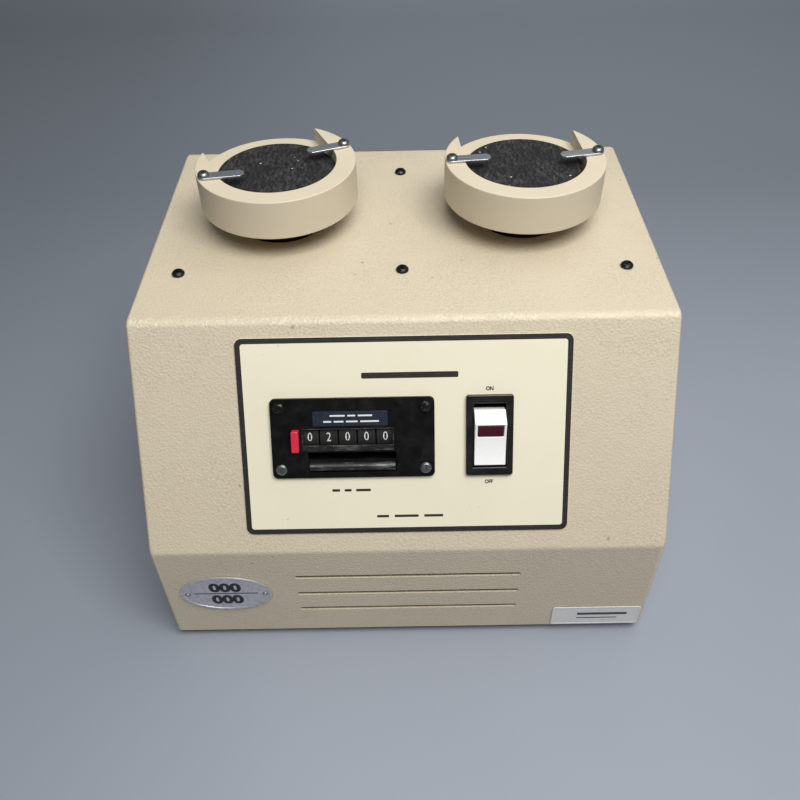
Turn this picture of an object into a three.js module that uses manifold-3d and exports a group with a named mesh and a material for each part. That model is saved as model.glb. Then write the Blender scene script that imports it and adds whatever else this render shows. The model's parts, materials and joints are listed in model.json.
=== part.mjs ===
// A two-station tapping tester for powders: a wedge-shaped housing with a motor-driven camshaft that
// lifts and drops two turning cups, a preset tap counter and a power rocker on its sloped panel.
// Millimetres, +Z up, +X to the operator's right, and the operator stands on the -Y side.
// The origin is on the table, under the middle of the housing.
import * as THREE from "three";
import { mergeVertices } from "three/addons/utils/BufferGeometryUtils.js";
import Module from "manifold-3d";

const wasm = await Module();
wasm.setup();

// ---- Driving dimensions ----

const GAP = 0.3; // between pieces that touch on the real object
const PAST = 20; // how far a cutting tool runs past what it cuts
const RUNNING_RADIUS = 0.3; // radial clearance of a shaft or a screw in its hole

const BODY_WIDTH = 305;
const BODY_DEPTH = 264;
const COVER_HEIGHT = 205;
const FOOT_HEIGHT = 8; // from the table to the cover's lower edge
const WALL = 3.5;
const PANEL_RUN = 67.2; // how far the sloped panel comes forward
const PANEL_DROP = 121.6; // how far it comes down
const BEND_RADIUS = 6;
const FRONT_CORNER_RADIUS = 3;
const BACK_CORNER_RADIUS = 8;

const GROOVE = { length: 138, width: 3, depth: 2.4, heights: [66.5, 48.9, 31.9] };

const STATION_X = 75.1; // each cup's distance from the middle plane
const STATION_Y = 37.9;
const STATION_TURN = { left: THREE.MathUtils.degToRad(24.4), right: THREE.MathUtils.degToRad(4.4) };
const CUP = { radius: 48.3, bottom: 16, top: 40, pocketRadius: 36.5, slotFloor: 31, padFloor: 30 };
const CUP_SOCKET_DEPTH = 10; // for the top of the tap shaft
const CUP_CHAMFER = 0.8;
const PAD_THICKNESS = 3.4;
const SHAFT_RADIUS = 8;
const COLLAR = { radius: 27, stemRadius: 15, stemBottom: -17 };
const CLIP = { pivot: 44.3, reach: 23.4, width: 7.2, corner: 2.2, thickness: 1.2 };
const CLIP_TURN = { left: [-16.5, -4.2], right: [1, 6] }; // each station's two clips, in degrees

const CAM = { axisZ: 110, baseRadius: 20, lift: 3, thickness: 12, shaftRadius: 6, clearance: 0.4 };
const CAM_RISE_DEG = 300; // turned through by the camshaft while a cup rises
const CAM_DWELL_DEG = 30; // the high dwell before the drop
const CAM_DROP_DEG = 5;
const CAMSHAFT_LENGTH = 270;
const LIFTER = { tipRadius: 3, radius: 11, coneHeight: 6, socketFloor: 10, height: 22 };

const COUNTER = { x: -29.6, down: 67.5, width: 92.2, height: 46.8, thickness: 2 };
const WINDOW = { x: -2.8, y: 0.6, width: 50.5, height: 9.2 };
const LOWER_SLOT = { x: -0.6, y: -14.2, width: 50, height: 11.9 };
const RED_BUTTON = { x: -32.4, y: -0.9, width: 4.3, height: 12.4, proud: 7, depth: 6.5, travel: 2 };
const COUNTER_CASE = { x: -3.9, width: 67, height: 40, depth: 30 };
const WHEEL = { count: 5, pitch: 10.7, firstX: -24.5, y: 0.2, radius: 12.5, width: 10.1, axisDepth: 11.9 };
const WHEEL_AXLE_RADIUS = 2;
const COUNTER_SCREW = { x: 41, y: 18 };
const GUARD_BAR = { height: 5.2, straight: 0.6, aboveSlotFoot: 0.5 };

const SWITCH = { x: 47.5, down: 67.3, width: 26.6, height: 47.3, flange: 2.5, depth: 24 };
const SWITCH_BODY = { width: 22, height: 42 };
const SWITCH_CAVITY = { width: 18.6, height: 37.4, depth: 14 };
const ROCKER_WIDTH = 17.6;
const ROCKER = { ridgeY: 8.8, ridgeZ: 11, toeY: -17, toeZ: 5, topY: 15, sideZ: -3 };
const ROCKER_SAG = 1.2; // how far the rocker's face is hollowed
const ROCKER_KEEL = { halfLength: 9, z: -8 };
const LENS = { width: 14.2, length: 7.2, thickness: 1, belowRidge: 1.2, proud: 0.1 };

const OVERLAY = { width: 187, height: 116.4, down: 68.1, radius: 4, thickness: 0.5 };
const TAG = { x: -113.1, z: 51.6, width: 57.2, height: 35, thickness: 1 };
const LABEL = { x: 121.2, z: 18.9, width: 56.6, height: 19.5, thickness: 0.5 };

const DECK_SCREW = { x: 131, frontY: -20.5, backY: 95 };
const SIDE_SCREW = { y: -118, z: 28 };
const FOOT = { x: 120, y: 98, radius: 11, taper: 1.5, chamfer: 1 };
const BASE = { thickness: 2, above: 1, play: 0.5, flangeHeight: 33 }; // play: beside the cover's walls
const BRIDGE = { width: 282, depth: 139, thickness: 5, y: 37.5 };
const HANGER = { x: 115, halfDepth: 20, thickness: 6, below: 18, shoeWidth: 24 };
const HANGER_BOSS = { radius: 14, length: 14 };
const GEARBOX = { halfWidth: 30, halfDepth: 28, below: 28, above: 30 };
const MOTOR = { radius: 27, flangeHalfWidth: 34, flangeThickness: 4 };
const COUNT_SWITCH = { halfWidth: 5, halfHeight: 14, button: 2.5, halfButton: 2, depth: 15.5, arm: 3 };
const COUNT_SWITCH_CLEARANCE = 0.5; // between its button and the cam's highest point
const INLET = { x: -95, z: 45, flangeWidth: 48, flangeHeight: 28, flange: 1.5, inside: 20 };
const SOCKET = { width: 24.6, height: 16.6, depth: 16, wall: 1.9 };

// Pan-head screws: head radius and height, then shank radius and length.
const SCREWS = {
  deck: [3.7, 2.4, 2, 9],
  side: [4.2, 2.2, 2, 10],
  counter: [3.2, 1.6, 1.3, 6],
  clip: [3.4, 2.2, 1.5, 8],
};
const SHANK = 2; // the place of the shank radius in a screw's sizes

// ---- Derived places ----

const FRONT_Y = -BODY_DEPTH / 2;
const BACK_Y = BODY_DEPTH / 2;
const DECK_Z = FOOT_HEIGHT + COVER_HEIGHT;
const BEND_Y = FRONT_Y + PANEL_RUN;
const PANEL_TILT = Math.atan2(PANEL_DROP, PANEL_RUN);
const INNER_TOP = DECK_Z - WALL;
const BRIDGE_TOP = INNER_TOP - GAP;
const BRIDGE_BOTTOM = BRIDGE_TOP - BRIDGE.thickness;
const BASE_BOTTOM = FOOT_HEIGHT + BASE.above;
const BASE_TOP = BASE_BOTTOM + BASE.thickness;
const BASE_FLANGE_TOP = BASE_BOTTOM + BASE.flangeHeight;
const BASE_HALF_WIDTH = BODY_WIDTH / 2 - WALL - BASE.play;
const OVERLAY_FRONT = GAP + OVERLAY.thickness;
const PLATE_BACK = OVERLAY_FRONT + GAP; // the back of the counter plate and of the switch flange
const PLATE_FRONT = PLATE_BACK + COUNTER.thickness;
const SWITCH_FRONT = PLATE_BACK + SWITCH.flange;
const PANEL_CUT = 40; // how deep the tools reach that cut through the panel
const CUT_MARGIN = 0.6; // around the counter case and the switch body in their cut-outs

// ---- Materials ----

const finish = (color, roughness, metalness) =>
  new THREE.MeshStandardMaterial({ color, roughness, metalness });
const paint = finish(0xc4b594, 0.6, 0.0);
const cupPlastic = finish(0xc9bb9a, 0.55, 0.0);
const padRubber = finish(0x2e2e30, 0.9, 0.0);
const footRubber = finish(0x1c1c1c, 0.85, 0.0);
const blackPlastic = finish(0x141414, 0.4, 0.0);
const blackScrew = finish(0x18181a, 0.35, 0.6);
const brightSteel = finish(0xb9bcc2, 0.3, 1.0);
const platedSteel = finish(0xa9abad, 0.45, 0.9);
const cream = finish(0xe9e2cb, 0.5, 0.0);
const redPlastic = finish(0xc3262c, 0.4, 0.0);
const whitePlastic = finish(0xf0eeea, 0.35, 0.0);
const redLens = finish(0x5a0f14, 0.25, 0.0);
const aluminium = finish(0xc6c8ca, 0.4, 0.9);
const whiteLabel = finish(0xe8e8ea, 0.35, 0.0);
const greyPaint = finish(0x5b6066, 0.5, 0.2);

// ---- Geometry helpers ----

/** The geometry's closed solid, with its shared corners merged and its empty triangles dropped. */
function solidOf(geometry) {
  const bare = geometry.clone();
  bare.deleteAttribute("normal");
  bare.deleteAttribute("uv");
  const merged = mergeVertices(bare);
  const corners = merged.index.array;
  const kept = [];
  for (let i = 0; i < corners.length; i += 3) {
    const [a, b, c] = [corners[i], corners[i + 1], corners[i + 2]];
    if (a !== b && b !== c && c !== a) {
      kept.push(a, b, c);
    }
  }
  const vertProperties = new Float32Array(merged.attributes.position.array);
  const triVerts = new Uint32Array(kept);
  return new wasm.Manifold(new wasm.Mesh({ numProp: 3, vertProperties, triVerts }));
}

/** A geometry that three.js can draw, from a joined or cut solid. */
function geometryOf(solid) {
  const mesh = solid.getMesh();
  const geometry = new THREE.BufferGeometry();
  geometry.setAttribute("position", new THREE.BufferAttribute(new Float32Array(mesh.vertProperties), 3));
  geometry.setIndex(new THREE.BufferAttribute(new Uint32Array(mesh.triVerts), 1));
  geometry.computeVertexNormals();
  return geometry;
}

/** The first geometry with the others cut out of it. */
function cut(base, ...tools) {
  return geometryOf(tools.reduce((solid, tool) => solid.subtract(solidOf(tool)), solidOf(base)));
}

/** The geometries joined into one. */
function join(first, ...others) {
  return geometryOf(others.reduce((solid, other) => solid.add(solidOf(other)), solidOf(first)));
}

/** A box given by its lowest and highest corners. */
function boxBetween(low, high) {
  const size = high.map((value, i) => value - low[i]);
  const box = new THREE.BoxGeometry(...size);
  return box.translate(low[0] + size[0] / 2, low[1] + size[1] / 2, low[2] + size[2] / 2);
}

/** An upright cylinder from z = low to z = high. */
function rod(radius, low, high, sides = 24) {
  const cylinder = new THREE.CylinderGeometry(radius, radius, high - low, sides);
  return cylinder.rotateX(Math.PI / 2).translate(0, 0, (low + high) / 2);
}

/** A cylinder along X, centred on x. */
function rodAlongX(radius, length, x = 0, sides = 24) {
  return new THREE.CylinderGeometry(radius, radius, length, sides).rotateZ(Math.PI / 2).translate(x, 0, 0);
}

/** A turned shape about Z, from [radius, z] corners in anticlockwise order. */
function turned(profile, sides = 32) {
  const closes = profile[0][0] > 0;
  const corners = closes ? [...profile, profile[0]] : profile;
  const points = corners.map(([radius, z]) => new THREE.Vector2(radius, z));
  return new THREE.LatheGeometry(points, sides).rotateX(Math.PI / 2);
}

/** An outline through [x, y, radius] corners in anticlockwise order, each rounded to its radius. */
function roundedOutline(corners) {
  const outline = new THREE.Shape();
  corners.forEach(([x, y, radius], i) => {
    const here = new THREE.Vector2(x, y);
    const before = new THREE.Vector2(...corners.at(i - 1)).sub(here).normalize();
    const after = new THREE.Vector2(...corners[(i + 1) % corners.length]).sub(here).normalize();
    const half = Math.acos(before.dot(after)) / 2;
    const start = here.clone().addScaledVector(before, radius / Math.tan(half));
    if (i === 0) {
      outline.moveTo(start.x, start.y);
    } else {
      outline.lineTo(start.x, start.y);
    }
    if (radius > 0) {
      const inward = before.clone().add(after).normalize();
      const centre = here.clone().addScaledVector(inward, radius / Math.sin(half));
      const end = here.clone().addScaledVector(after, radius / Math.tan(half));
      const from = start.sub(centre).angle();
      outline.absarc(centre.x, centre.y, radius, from, end.sub(centre).angle(), false);
    }
  });
  outline.closePath();
  return outline;
}

/** A rectangle with round corners, centred on (x, y). */
function roundedRectangle(width, height, radius, x = 0, y = 0) {
  const [w, h] = [width / 2, height / 2];
  const signs = [[-1, -1], [1, -1], [1, 1], [-1, 1]];
  return roundedOutline(signs.map(([sx, sy]) => [x + sx * w, y + sy * h, radius]));
}

/** The outline thickened along Z, from z = low to z = high. */
function plate(outline, low, high, curveSegments = 2) {
  const options = { depth: high - low, bevelEnabled: false, curveSegments };
  return new THREE.ExtrudeGeometry(outline, options).translate(0, 0, low);
}

/** The outline, drawn in Y and Z, thickened along X and centred on x. */
function plateAcross(outline, length, x = 0, curveSegments = 2) {
  const turn = new THREE.Matrix4().makeBasis(
    new THREE.Vector3(0, 1, 0),
    new THREE.Vector3(0, 0, 1),
    new THREE.Vector3(1, 0, 0),
  );
  return plate(outline, -length / 2, length / 2, curveSegments).applyMatrix4(turn).translate(x, 0, 0);
}

/** The outline, drawn in X and Z, thickened from y = low to y = high. */
function platePanel(outline, low, high, curveSegments = 2) {
  return plate(outline, -high, -low, curveSegments).rotateX(Math.PI / 2);
}

/** Moves a tool from the sloped panel's own frame into the housing's frame. */
function fromPanel(geometry) {
  return geometry.rotateX(PANEL_TILT).translate(0, BEND_Y, DECK_Z);
}

/** A named piece of the object. */
function piece(name, geometry, material) {
  const mesh = new THREE.Mesh(geometry, material);
  mesh.name = name;
  return mesh;
}

/** A group at a place, turned about one axis. */
function groupAt(x, y, z, turn = {}) {
  const group = new THREE.Group();
  group.position.set(x, y, z);
  group.rotation.set(turn.x ?? 0, turn.y ?? 0, turn.z ?? 0);
  return group;
}

/** A pan-head screw on the Z axis: its head rests at z = 0 and its shank points down. */
function screw([headRadius, headHeight, shankRadius, shankLength]) {
  const profile = [
    [0, -shankLength],
    [shankRadius, -shankLength],
    [shankRadius, 0],
    [headRadius, 0],
    [headRadius, headHeight * 0.45],
    [headRadius * 0.75, headHeight * 0.9],
    [0, headHeight],
  ];
  return turned(profile, 12);
}

/** An upright hole that a screw passes with clearance. */
function screwHole(sizes, low, high) {
  return rod(sizes[SHANK] + RUNNING_RADIUS, low, high, 12);
}

/** Both signs of a mirrored pair, with the side that each one stands for. */
const SIDES = [["left", -1], ["right", 1]];

// ---- Housing ----

/** The housing's side view, in Y and Z, moved inward by inset and reaching down to bottom. */
function sideOutline(inset, bottom, radius) {
  const [cosine, sine] = [Math.cos(PANEL_TILT), Math.sin(PANEL_TILT)];
  const bendY = BEND_Y + (inset * (1 - cosine)) / sine;
  const lowerZ = DECK_Z - ((BEND_Y - FRONT_Y - inset) * sine + inset) / cosine;
  return roundedOutline([
    [FRONT_Y + inset, bottom, 0],
    [BACK_Y - inset, bottom, 0],
    [BACK_Y - inset, DECK_Z - inset, radius],
    [bendY, DECK_Z - inset, radius],
    [FRONT_Y + inset, lowerZ, radius],
  ]);
}

/** The counter plate's own openings, as tools in the panel's frame. */
function counterPlateTools() {
  const [x, y] = [COUNTER.x, -COUNTER.down];
  const [low, high] = [0, PANEL_CUT];
  const opening = (shape, margin = 0) =>
    boxBetween(
      [x + shape.x - shape.width / 2 - margin, y + shape.y - shape.height / 2 - margin, low],
      [x + shape.x + shape.width / 2 + margin, y + shape.y + shape.height / 2 + margin, high],
    );
  return [opening(WINDOW), opening(LOWER_SLOT), opening(RED_BUTTON, GAP)];
}

/** The places of the counter plate's screws, in the panel's frame. */
function counterScrewPlaces() {
  const signs = [[-1, 1], [1, 1], [-1, -1], [1, -1]];
  return signs.map(([sx, sy]) => [
    COUNTER.x + sx * COUNTER_SCREW.x,
    -COUNTER.down + sy * COUNTER_SCREW.y,
  ]);
}

/** The holes that the counter plate's screws go through, in the panel's frame. */
function counterScrewHoles() {
  const hole = () => screwHole(SCREWS.counter, -PANEL_CUT, PANEL_CUT);
  return counterScrewPlaces().map(([x, y]) => hole().translate(x, y, 0));
}

/** The panel's cut-outs for the counter case and the switch body, in the panel's frame. */
function panelTools() {
  const cutOut = (x, y, size) => {
    const [w, h] = [size.width / 2 + CUT_MARGIN, size.height / 2 + CUT_MARGIN];
    return boxBetween([x - w, y - h, -PANEL_CUT], [x + w, y + h, PANEL_CUT]);
  };
  return [
    cutOut(COUNTER.x + COUNTER_CASE.x, -COUNTER.down, COUNTER_CASE),
    cutOut(SWITCH.x, -SWITCH.down, SWITCH_BODY),
    ...counterScrewHoles(),
  ];
}

/** The places of the six screws that hold the bridge under the deck. */
function deckScrewPlaces() {
  const columns = [-DECK_SCREW.x, 0, DECK_SCREW.x];
  return [DECK_SCREW.frontY, DECK_SCREW.backY].flatMap((y) => columns.map((x) => [x, y]));
}

/** Upright holes under the six deck screws. */
function deckScrewHoles() {
  const hole = () => screwHole(SCREWS.deck, INNER_TOP - PAST, DECK_Z + PAST);
  return deckScrewPlaces().map(([x, y]) => hole().translate(x, y, 0));
}

/** Upright holes for the stems of the two guide collars. */
function collarHoles() {
  const hole = () => rod(COLLAR.stemRadius + RUNNING_RADIUS, INNER_TOP - PAST, DECK_Z + PAST, 24);
  return SIDES.map(([, sign]) => hole().translate(sign * STATION_X, STATION_Y, 0));
}

/** One hole along X, right through, for the two side screws. */
function sideScrewHole() {
  const radius = SCREWS.side[SHANK] + RUNNING_RADIUS;
  return rodAlongX(radius, BODY_WIDTH + PAST, 0, 12).translate(0, SIDE_SCREW.y, SIDE_SCREW.z);
}

/** The sloped-front cover, open below, with its grooves, cut-outs and screw holes. */
function housingCover() {
  const plan = roundedOutline([
    [-BODY_WIDTH / 2, FRONT_Y, FRONT_CORNER_RADIUS],
    [BODY_WIDTH / 2, FRONT_Y, FRONT_CORNER_RADIUS],
    [BODY_WIDTH / 2, BACK_Y, BACK_CORNER_RADIUS],
    [-BODY_WIDTH / 2, BACK_Y, BACK_CORNER_RADIUS],
  ]);
  const block = solidOf(plateAcross(sideOutline(0, FOOT_HEIGHT, BEND_RADIUS), BODY_WIDTH, 0, 3));
  const outside = geometryOf(block.intersect(solidOf(plate(plan, 0, DECK_Z + PAST))));
  const inside = sideOutline(WALL, FOOT_HEIGHT - PAST, BEND_RADIUS - WALL);
  const hollow = plateAcross(inside, BODY_WIDTH - 2 * WALL);
  const grooves = GROOVE.heights.map((z) => {
    const outline = roundedRectangle(GROOVE.length, GROOVE.width, GROOVE.width / 2 - 0.01, 0, z);
    return platePanel(outline, FRONT_Y - PAST, FRONT_Y + GROOVE.depth);
  });
  const inletHalfWidth = SOCKET.width / 2 + SOCKET.wall + CUT_MARGIN;
  const inletHalfHeight = SOCKET.height / 2 + SOCKET.wall + CUT_MARGIN;
  const inletHole = boxBetween(
    [INLET.x - inletHalfWidth, BACK_Y - PAST, INLET.z - inletHalfHeight],
    [INLET.x + inletHalfWidth, BACK_Y + PAST, INLET.z + inletHalfHeight],
  );
  return cut(
    outside,
    hollow,
    ...grooves,
    ...panelTools().map(fromPanel),
    ...deckScrewHoles(),
    ...collarHoles(),
    sideScrewHole(),
    inletHole,
  );
}

/** The floor plate, with two turned-up sides that the side screws hold. */
function basePlate() {
  const halfDepth = BODY_DEPTH / 2 - WALL - GAP;
  const floor = boxBetween(
    [-BASE_HALF_WIDTH, -halfDepth, BASE_BOTTOM],
    [BASE_HALF_WIDTH, halfDepth, BASE_TOP],
  );
  const sides = SIDES.map(([, sign]) => {
    const outer = sign * BASE_HALF_WIDTH;
    const inner = outer - sign * BASE.thickness;
    return boxBetween(
      [Math.min(inner, outer), -halfDepth, BASE_BOTTOM],
      [Math.max(inner, outer), halfDepth, BASE_FLANGE_TOP],
    );
  });
  return cut(join(floor, ...sides), sideScrewHole());
}

/** A rubber foot, wider at its top, from the table up to the base plate. */
function foot() {
  const top = BASE_BOTTOM - GAP;
  const low = FOOT.radius - FOOT.taper;
  return turned([
    [0, 0],
    [low - FOOT.chamfer, 0],
    [low, FOOT.chamfer],
    [FOOT.radius, top],
    [0, top],
  ], 18);
}

function addHousing(object) {
  object.add(piece("housing_cover", housingCover(), paint));
  object.add(piece("base_plate", basePlate(), platedSteel));
  for (const [side, sx] of SIDES) {
    for (const [end, sy] of [["front", -1], ["back", 1]]) {
      const rubber = piece(`foot_${end}_${side}`, foot(), footRubber);
      rubber.position.set(sx * FOOT.x, sy * FOOT.y, 0);
      object.add(rubber);
    }
    const fastener = piece(`side_screw_${side}`, screw(SCREWS.side), brightSteel);
    fastener.position.set(sx * (BODY_WIDTH / 2 + GAP), SIDE_SCREW.y, SIDE_SCREW.z);
    fastener.rotation.y = (sx * Math.PI) / 2;
    object.add(fastener);
  }
  const columns = ["left", "middle", "right"];
  deckScrewPlaces().forEach(([x, y], i) => {
    const row = i < columns.length ? "front" : "back";
    const name = `deck_screw_${row}_${columns[i % columns.length]}`;
    const fastener = piece(name, screw(SCREWS.deck), blackScrew);
    fastener.position.set(x, y, DECK_Z + GAP);
    object.add(fastener);
  });
}

/** The oval tag and the corner label on the lower front face. */
function addFrontPlates(object) {
  const oval = new THREE.Shape().absellipse(0, 0, TAG.width / 2, TAG.height / 2, 0, Math.PI * 2, false);
  const tag = piece("oval_tag", platePanel(oval, -TAG.thickness, 0, 18), aluminium);
  tag.position.set(TAG.x, FRONT_Y - GAP, TAG.z);
  const outline = roundedRectangle(LABEL.width, LABEL.height, 1.5);
  const label = piece("corner_label", platePanel(outline, -LABEL.thickness, 0), whiteLabel);
  label.position.set(LABEL.x, FRONT_Y - GAP, LABEL.z);
  object.add(tag, label);
}

/** The appliance inlet in the back wall: a flange and a socket that opens backward. */
function powerInlet() {
  const [w, h] = [SOCKET.width / 2, SOCKET.height / 2];
  const outline = roundedRectangle(INLET.flangeWidth, INLET.flangeHeight, 4);
  const flange = platePanel(outline, GAP, GAP + INLET.flange);
  const body = boxBetween(
    [-w - SOCKET.wall, -INLET.inside, -h - SOCKET.wall],
    [w + SOCKET.wall, GAP + INLET.flange / 2, h + SOCKET.wall],
  );
  const socket = boxBetween([-w, -SOCKET.depth, -h], [w, PAST, h]);
  return cut(join(body, flange), socket);
}

function addInlet(object) {
  const inlet = piece("power_inlet", powerInlet(), blackPlastic);
  inlet.position.set(INLET.x, BACK_Y, INLET.z);
  object.add(inlet);
}

// ---- Sloped panel: overlay, counter and switch ----

function controlOverlay() {
  const outline = roundedRectangle(OVERLAY.width, OVERLAY.height, OVERLAY.radius, 0, -OVERLAY.down);
  return cut(plate(outline, GAP, OVERLAY_FRONT), ...panelTools());
}

function counterPlate() {
  const outline = roundedRectangle(COUNTER.width, COUNTER.height, 3, COUNTER.x, -COUNTER.down);
  return cut(plate(outline, PLATE_BACK, PLATE_FRONT), ...counterPlateTools(), ...counterScrewHoles());
}

/** The counter's case: a trough for the wheels, with their axle across it and a button pocket beside it. */
function counterCase() {
  const x = COUNTER_CASE.x;
  const halfWidth = COUNTER_CASE.width / 2;
  const halfHeight = COUNTER_CASE.height / 2;
  const room = 1; // left around the wheels and under the pressed button
  const pocketFloor = -RED_BUTTON.depth - RED_BUTTON.travel - room;
  const wheelsLeft = WHEEL.firstX - WHEEL.width / 2 - room;
  const wheelsRight = wheelsLeft + WHEEL.pitch * (WHEEL.count - 1) + WHEEL.width + 2 * room;
  const block = boxBetween(
    [x - halfWidth, -halfHeight, -COUNTER_CASE.depth],
    [x + halfWidth, halfHeight, OVERLAY_FRONT],
  );
  const trough = boxBetween(
    [wheelsLeft, WHEEL.y - WHEEL.radius - room, -WHEEL.axisDepth - WHEEL.radius - room],
    [wheelsRight, WHEEL.y + WHEEL.radius + room, PANEL_CUT],
  );
  const pocket = boxBetween(
    [RED_BUTTON.x - RED_BUTTON.width / 2 - GAP, RED_BUTTON.y - RED_BUTTON.height / 2 - GAP, pocketFloor],
    [RED_BUTTON.x + RED_BUTTON.width / 2 + GAP, RED_BUTTON.y + RED_BUTTON.height / 2 + GAP, PANEL_CUT],
  );
  const axle = rodAlongX(WHEEL_AXLE_RADIUS, wheelsRight - wheelsLeft + 2, (wheelsLeft + wheelsRight) / 2, 12)
    .translate(0, WHEEL.y, -WHEEL.axisDepth);
  return join(cut(block, trough, pocket), axle);
}

/** The round-fronted guard bar in the lower half of the counter plate's slot. */
function guardBar() {
  const radius = GUARD_BAR.height / 2;
  const outline = new THREE.Shape();
  outline.moveTo(-radius, PLATE_BACK);
  outline.lineTo(radius, PLATE_BACK);
  outline.absarc(0, PLATE_BACK + GUARD_BAR.straight, radius, 0, Math.PI, false);
  outline.closePath();
  return plateAcross(outline, LOWER_SLOT.width - 1, 0, 4);
}

function numberWheel() {
  return cut(
    rodAlongX(WHEEL.radius, WHEEL.width, 0, 26),
    rodAlongX(WHEEL_AXLE_RADIUS + RUNNING_RADIUS, WHEEL.width + 2, 0, 12),
  );
}

function addCounter(panel) {
  panel.add(piece("counter_plate", counterPlate(), blackPlastic));
  counterScrewPlaces().forEach(([x, y], i) => {
    const fastener = piece(`counter_screw_${i + 1}`, screw(SCREWS.counter), blackScrew);
    fastener.position.set(x, y, PLATE_FRONT + GAP);
    panel.add(fastener);
  });
  const counter = groupAt(COUNTER.x, -COUNTER.down, 0);
  counter.add(piece("counter_case", counterCase(), blackPlastic));
  const bar = piece("counter_guard_bar", guardBar(), platedSteel);
  const slotFoot = LOWER_SLOT.y - LOWER_SLOT.height / 2;
  bar.position.set(LOWER_SLOT.x, slotFoot + GUARD_BAR.aboveSlotFoot + GUARD_BAR.height / 2, 0);
  counter.add(bar);
  for (let i = 0; i < WHEEL.count; i += 1) {
    const wheel = piece(`number_wheel_${i + 1}`, numberWheel(), blackPlastic);
    wheel.position.set(WHEEL.firstX + i * WHEEL.pitch, WHEEL.y, -WHEEL.axisDepth);
    counter.add(wheel);
  }
  const outline = roundedRectangle(RED_BUTTON.width, RED_BUTTON.height, 0.8);
  const button = piece("preset_button", plate(outline, -RED_BUTTON.depth, RED_BUTTON.proud), redPlastic);
  button.position.set(RED_BUTTON.x, RED_BUTTON.y, 0);
  counter.add(button);
  panel.add(counter);
}

/** The switch's frame and body in one, hollow for the rocker. */
function switchBody() {
  const flange = plate(roundedRectangle(SWITCH.width, SWITCH.height, 1.5), PLATE_BACK, SWITCH_FRONT);
  const body = boxBetween(
    [-SWITCH_BODY.width / 2, -SWITCH_BODY.height / 2, -SWITCH.depth],
    [SWITCH_BODY.width / 2, SWITCH_BODY.height / 2, PLATE_BACK + 1],
  );
  const cavity = boxBetween(
    [-SWITCH_CAVITY.width / 2, -SWITCH_CAVITY.height / 2, -SWITCH_CAVITY.depth],
    [SWITCH_CAVITY.width / 2, SWITCH_CAVITY.height / 2, PANEL_CUT],
  );
  return cut(join(body, flange), cavity);
}

/** The rocker's face in side view: from the ridge near its top, in one hollow sweep, to its toe. */
function rockerFace() {
  const ridge = new THREE.Vector2(ROCKER.ridgeY, ROCKER.ridgeZ);
  const toe = new THREE.Vector2(ROCKER.toeY, ROCKER.toeZ);
  const middle = ridge.clone().lerp(toe, 0.5);
  return new THREE.QuadraticBezierCurve(ridge, middle.setY(middle.y - 2 * ROCKER_SAG), toe);
}

/** The rocker's side view, in Y and Z: its face above, and a short keel between its two ends. */
function rockerOutline() {
  const { v0: ridge, v1: sag, v2: toe } = rockerFace();
  const outline = new THREE.Shape();
  outline.moveTo(toe.x, ROCKER.sideZ);
  outline.lineTo(-ROCKER_KEEL.halfLength, ROCKER_KEEL.z);
  outline.lineTo(ROCKER_KEEL.halfLength, ROCKER_KEEL.z);
  outline.lineTo(ROCKER.topY, ROCKER.sideZ);
  outline.lineTo(ROCKER.topY, SWITCH_FRONT - 1);
  outline.lineTo(ridge.x, ridge.y);
  outline.quadraticCurveTo(sag.x, sag.y, toe.x, toe.y);
  outline.closePath();
  return outline;
}

/** A box of the lens's size, grown by margin, lying on the rocker's face just below its ridge. */
function lensBlock(margin, low, high) {
  const face = rockerFace();
  const share = (LENS.belowRidge + LENS.length / 2) / face.getLength();
  const centre = face.getPointAt(share);
  const downward = face.getTangentAt(share);
  const [halfWidth, halfLength] = [LENS.width / 2 + margin, LENS.length / 2 + margin];
  const block = boxBetween([-halfWidth, -halfLength, low], [halfWidth, halfLength, high]);
  return block.rotateX(Math.atan2(-downward.y, -downward.x)).translate(0, centre.x, centre.y);
}

function rocker() {
  const pocketDepth = LENS.thickness + GAP;
  return cut(plateAcross(rockerOutline(), ROCKER_WIDTH, 0, 6), lensBlock(GAP, -pocketDepth, PAST));
}

function addSwitch(panel) {
  const group = groupAt(SWITCH.x, -SWITCH.down, 0);
  group.add(piece("switch_body", switchBody(), blackPlastic));
  group.add(piece("power_rocker", rocker(), whitePlastic));
  group.add(piece("rocker_lens", lensBlock(0, -LENS.thickness, LENS.proud), redLens));
  panel.add(group);
}

function addPanel(object) {
  const panel = groupAt(0, BEND_Y, DECK_Z, { x: PANEL_TILT });
  panel.add(piece("control_overlay", controlOverlay(), cream));
  addCounter(panel);
  addSwitch(panel);
  object.add(panel);
}

// ---- Cup stations. Heights in this section count from the deck. ----

/** The black guide collar: a stem through the deck and a wide top that the falling cup lands on. */
function guideCollar() {
  const bore = SHAFT_RADIUS + RUNNING_RADIUS;
  const top = CUP.bottom - GAP;
  return turned([
    [bore, COLLAR.stemBottom],
    [COLLAR.stemRadius, COLLAR.stemBottom],
    [COLLAR.stemRadius, GAP],
    [COLLAR.radius, GAP],
    [COLLAR.radius, top - 1],
    [COLLAR.radius - 1, top],
    [bore, top],
  ], 30);
}

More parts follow.
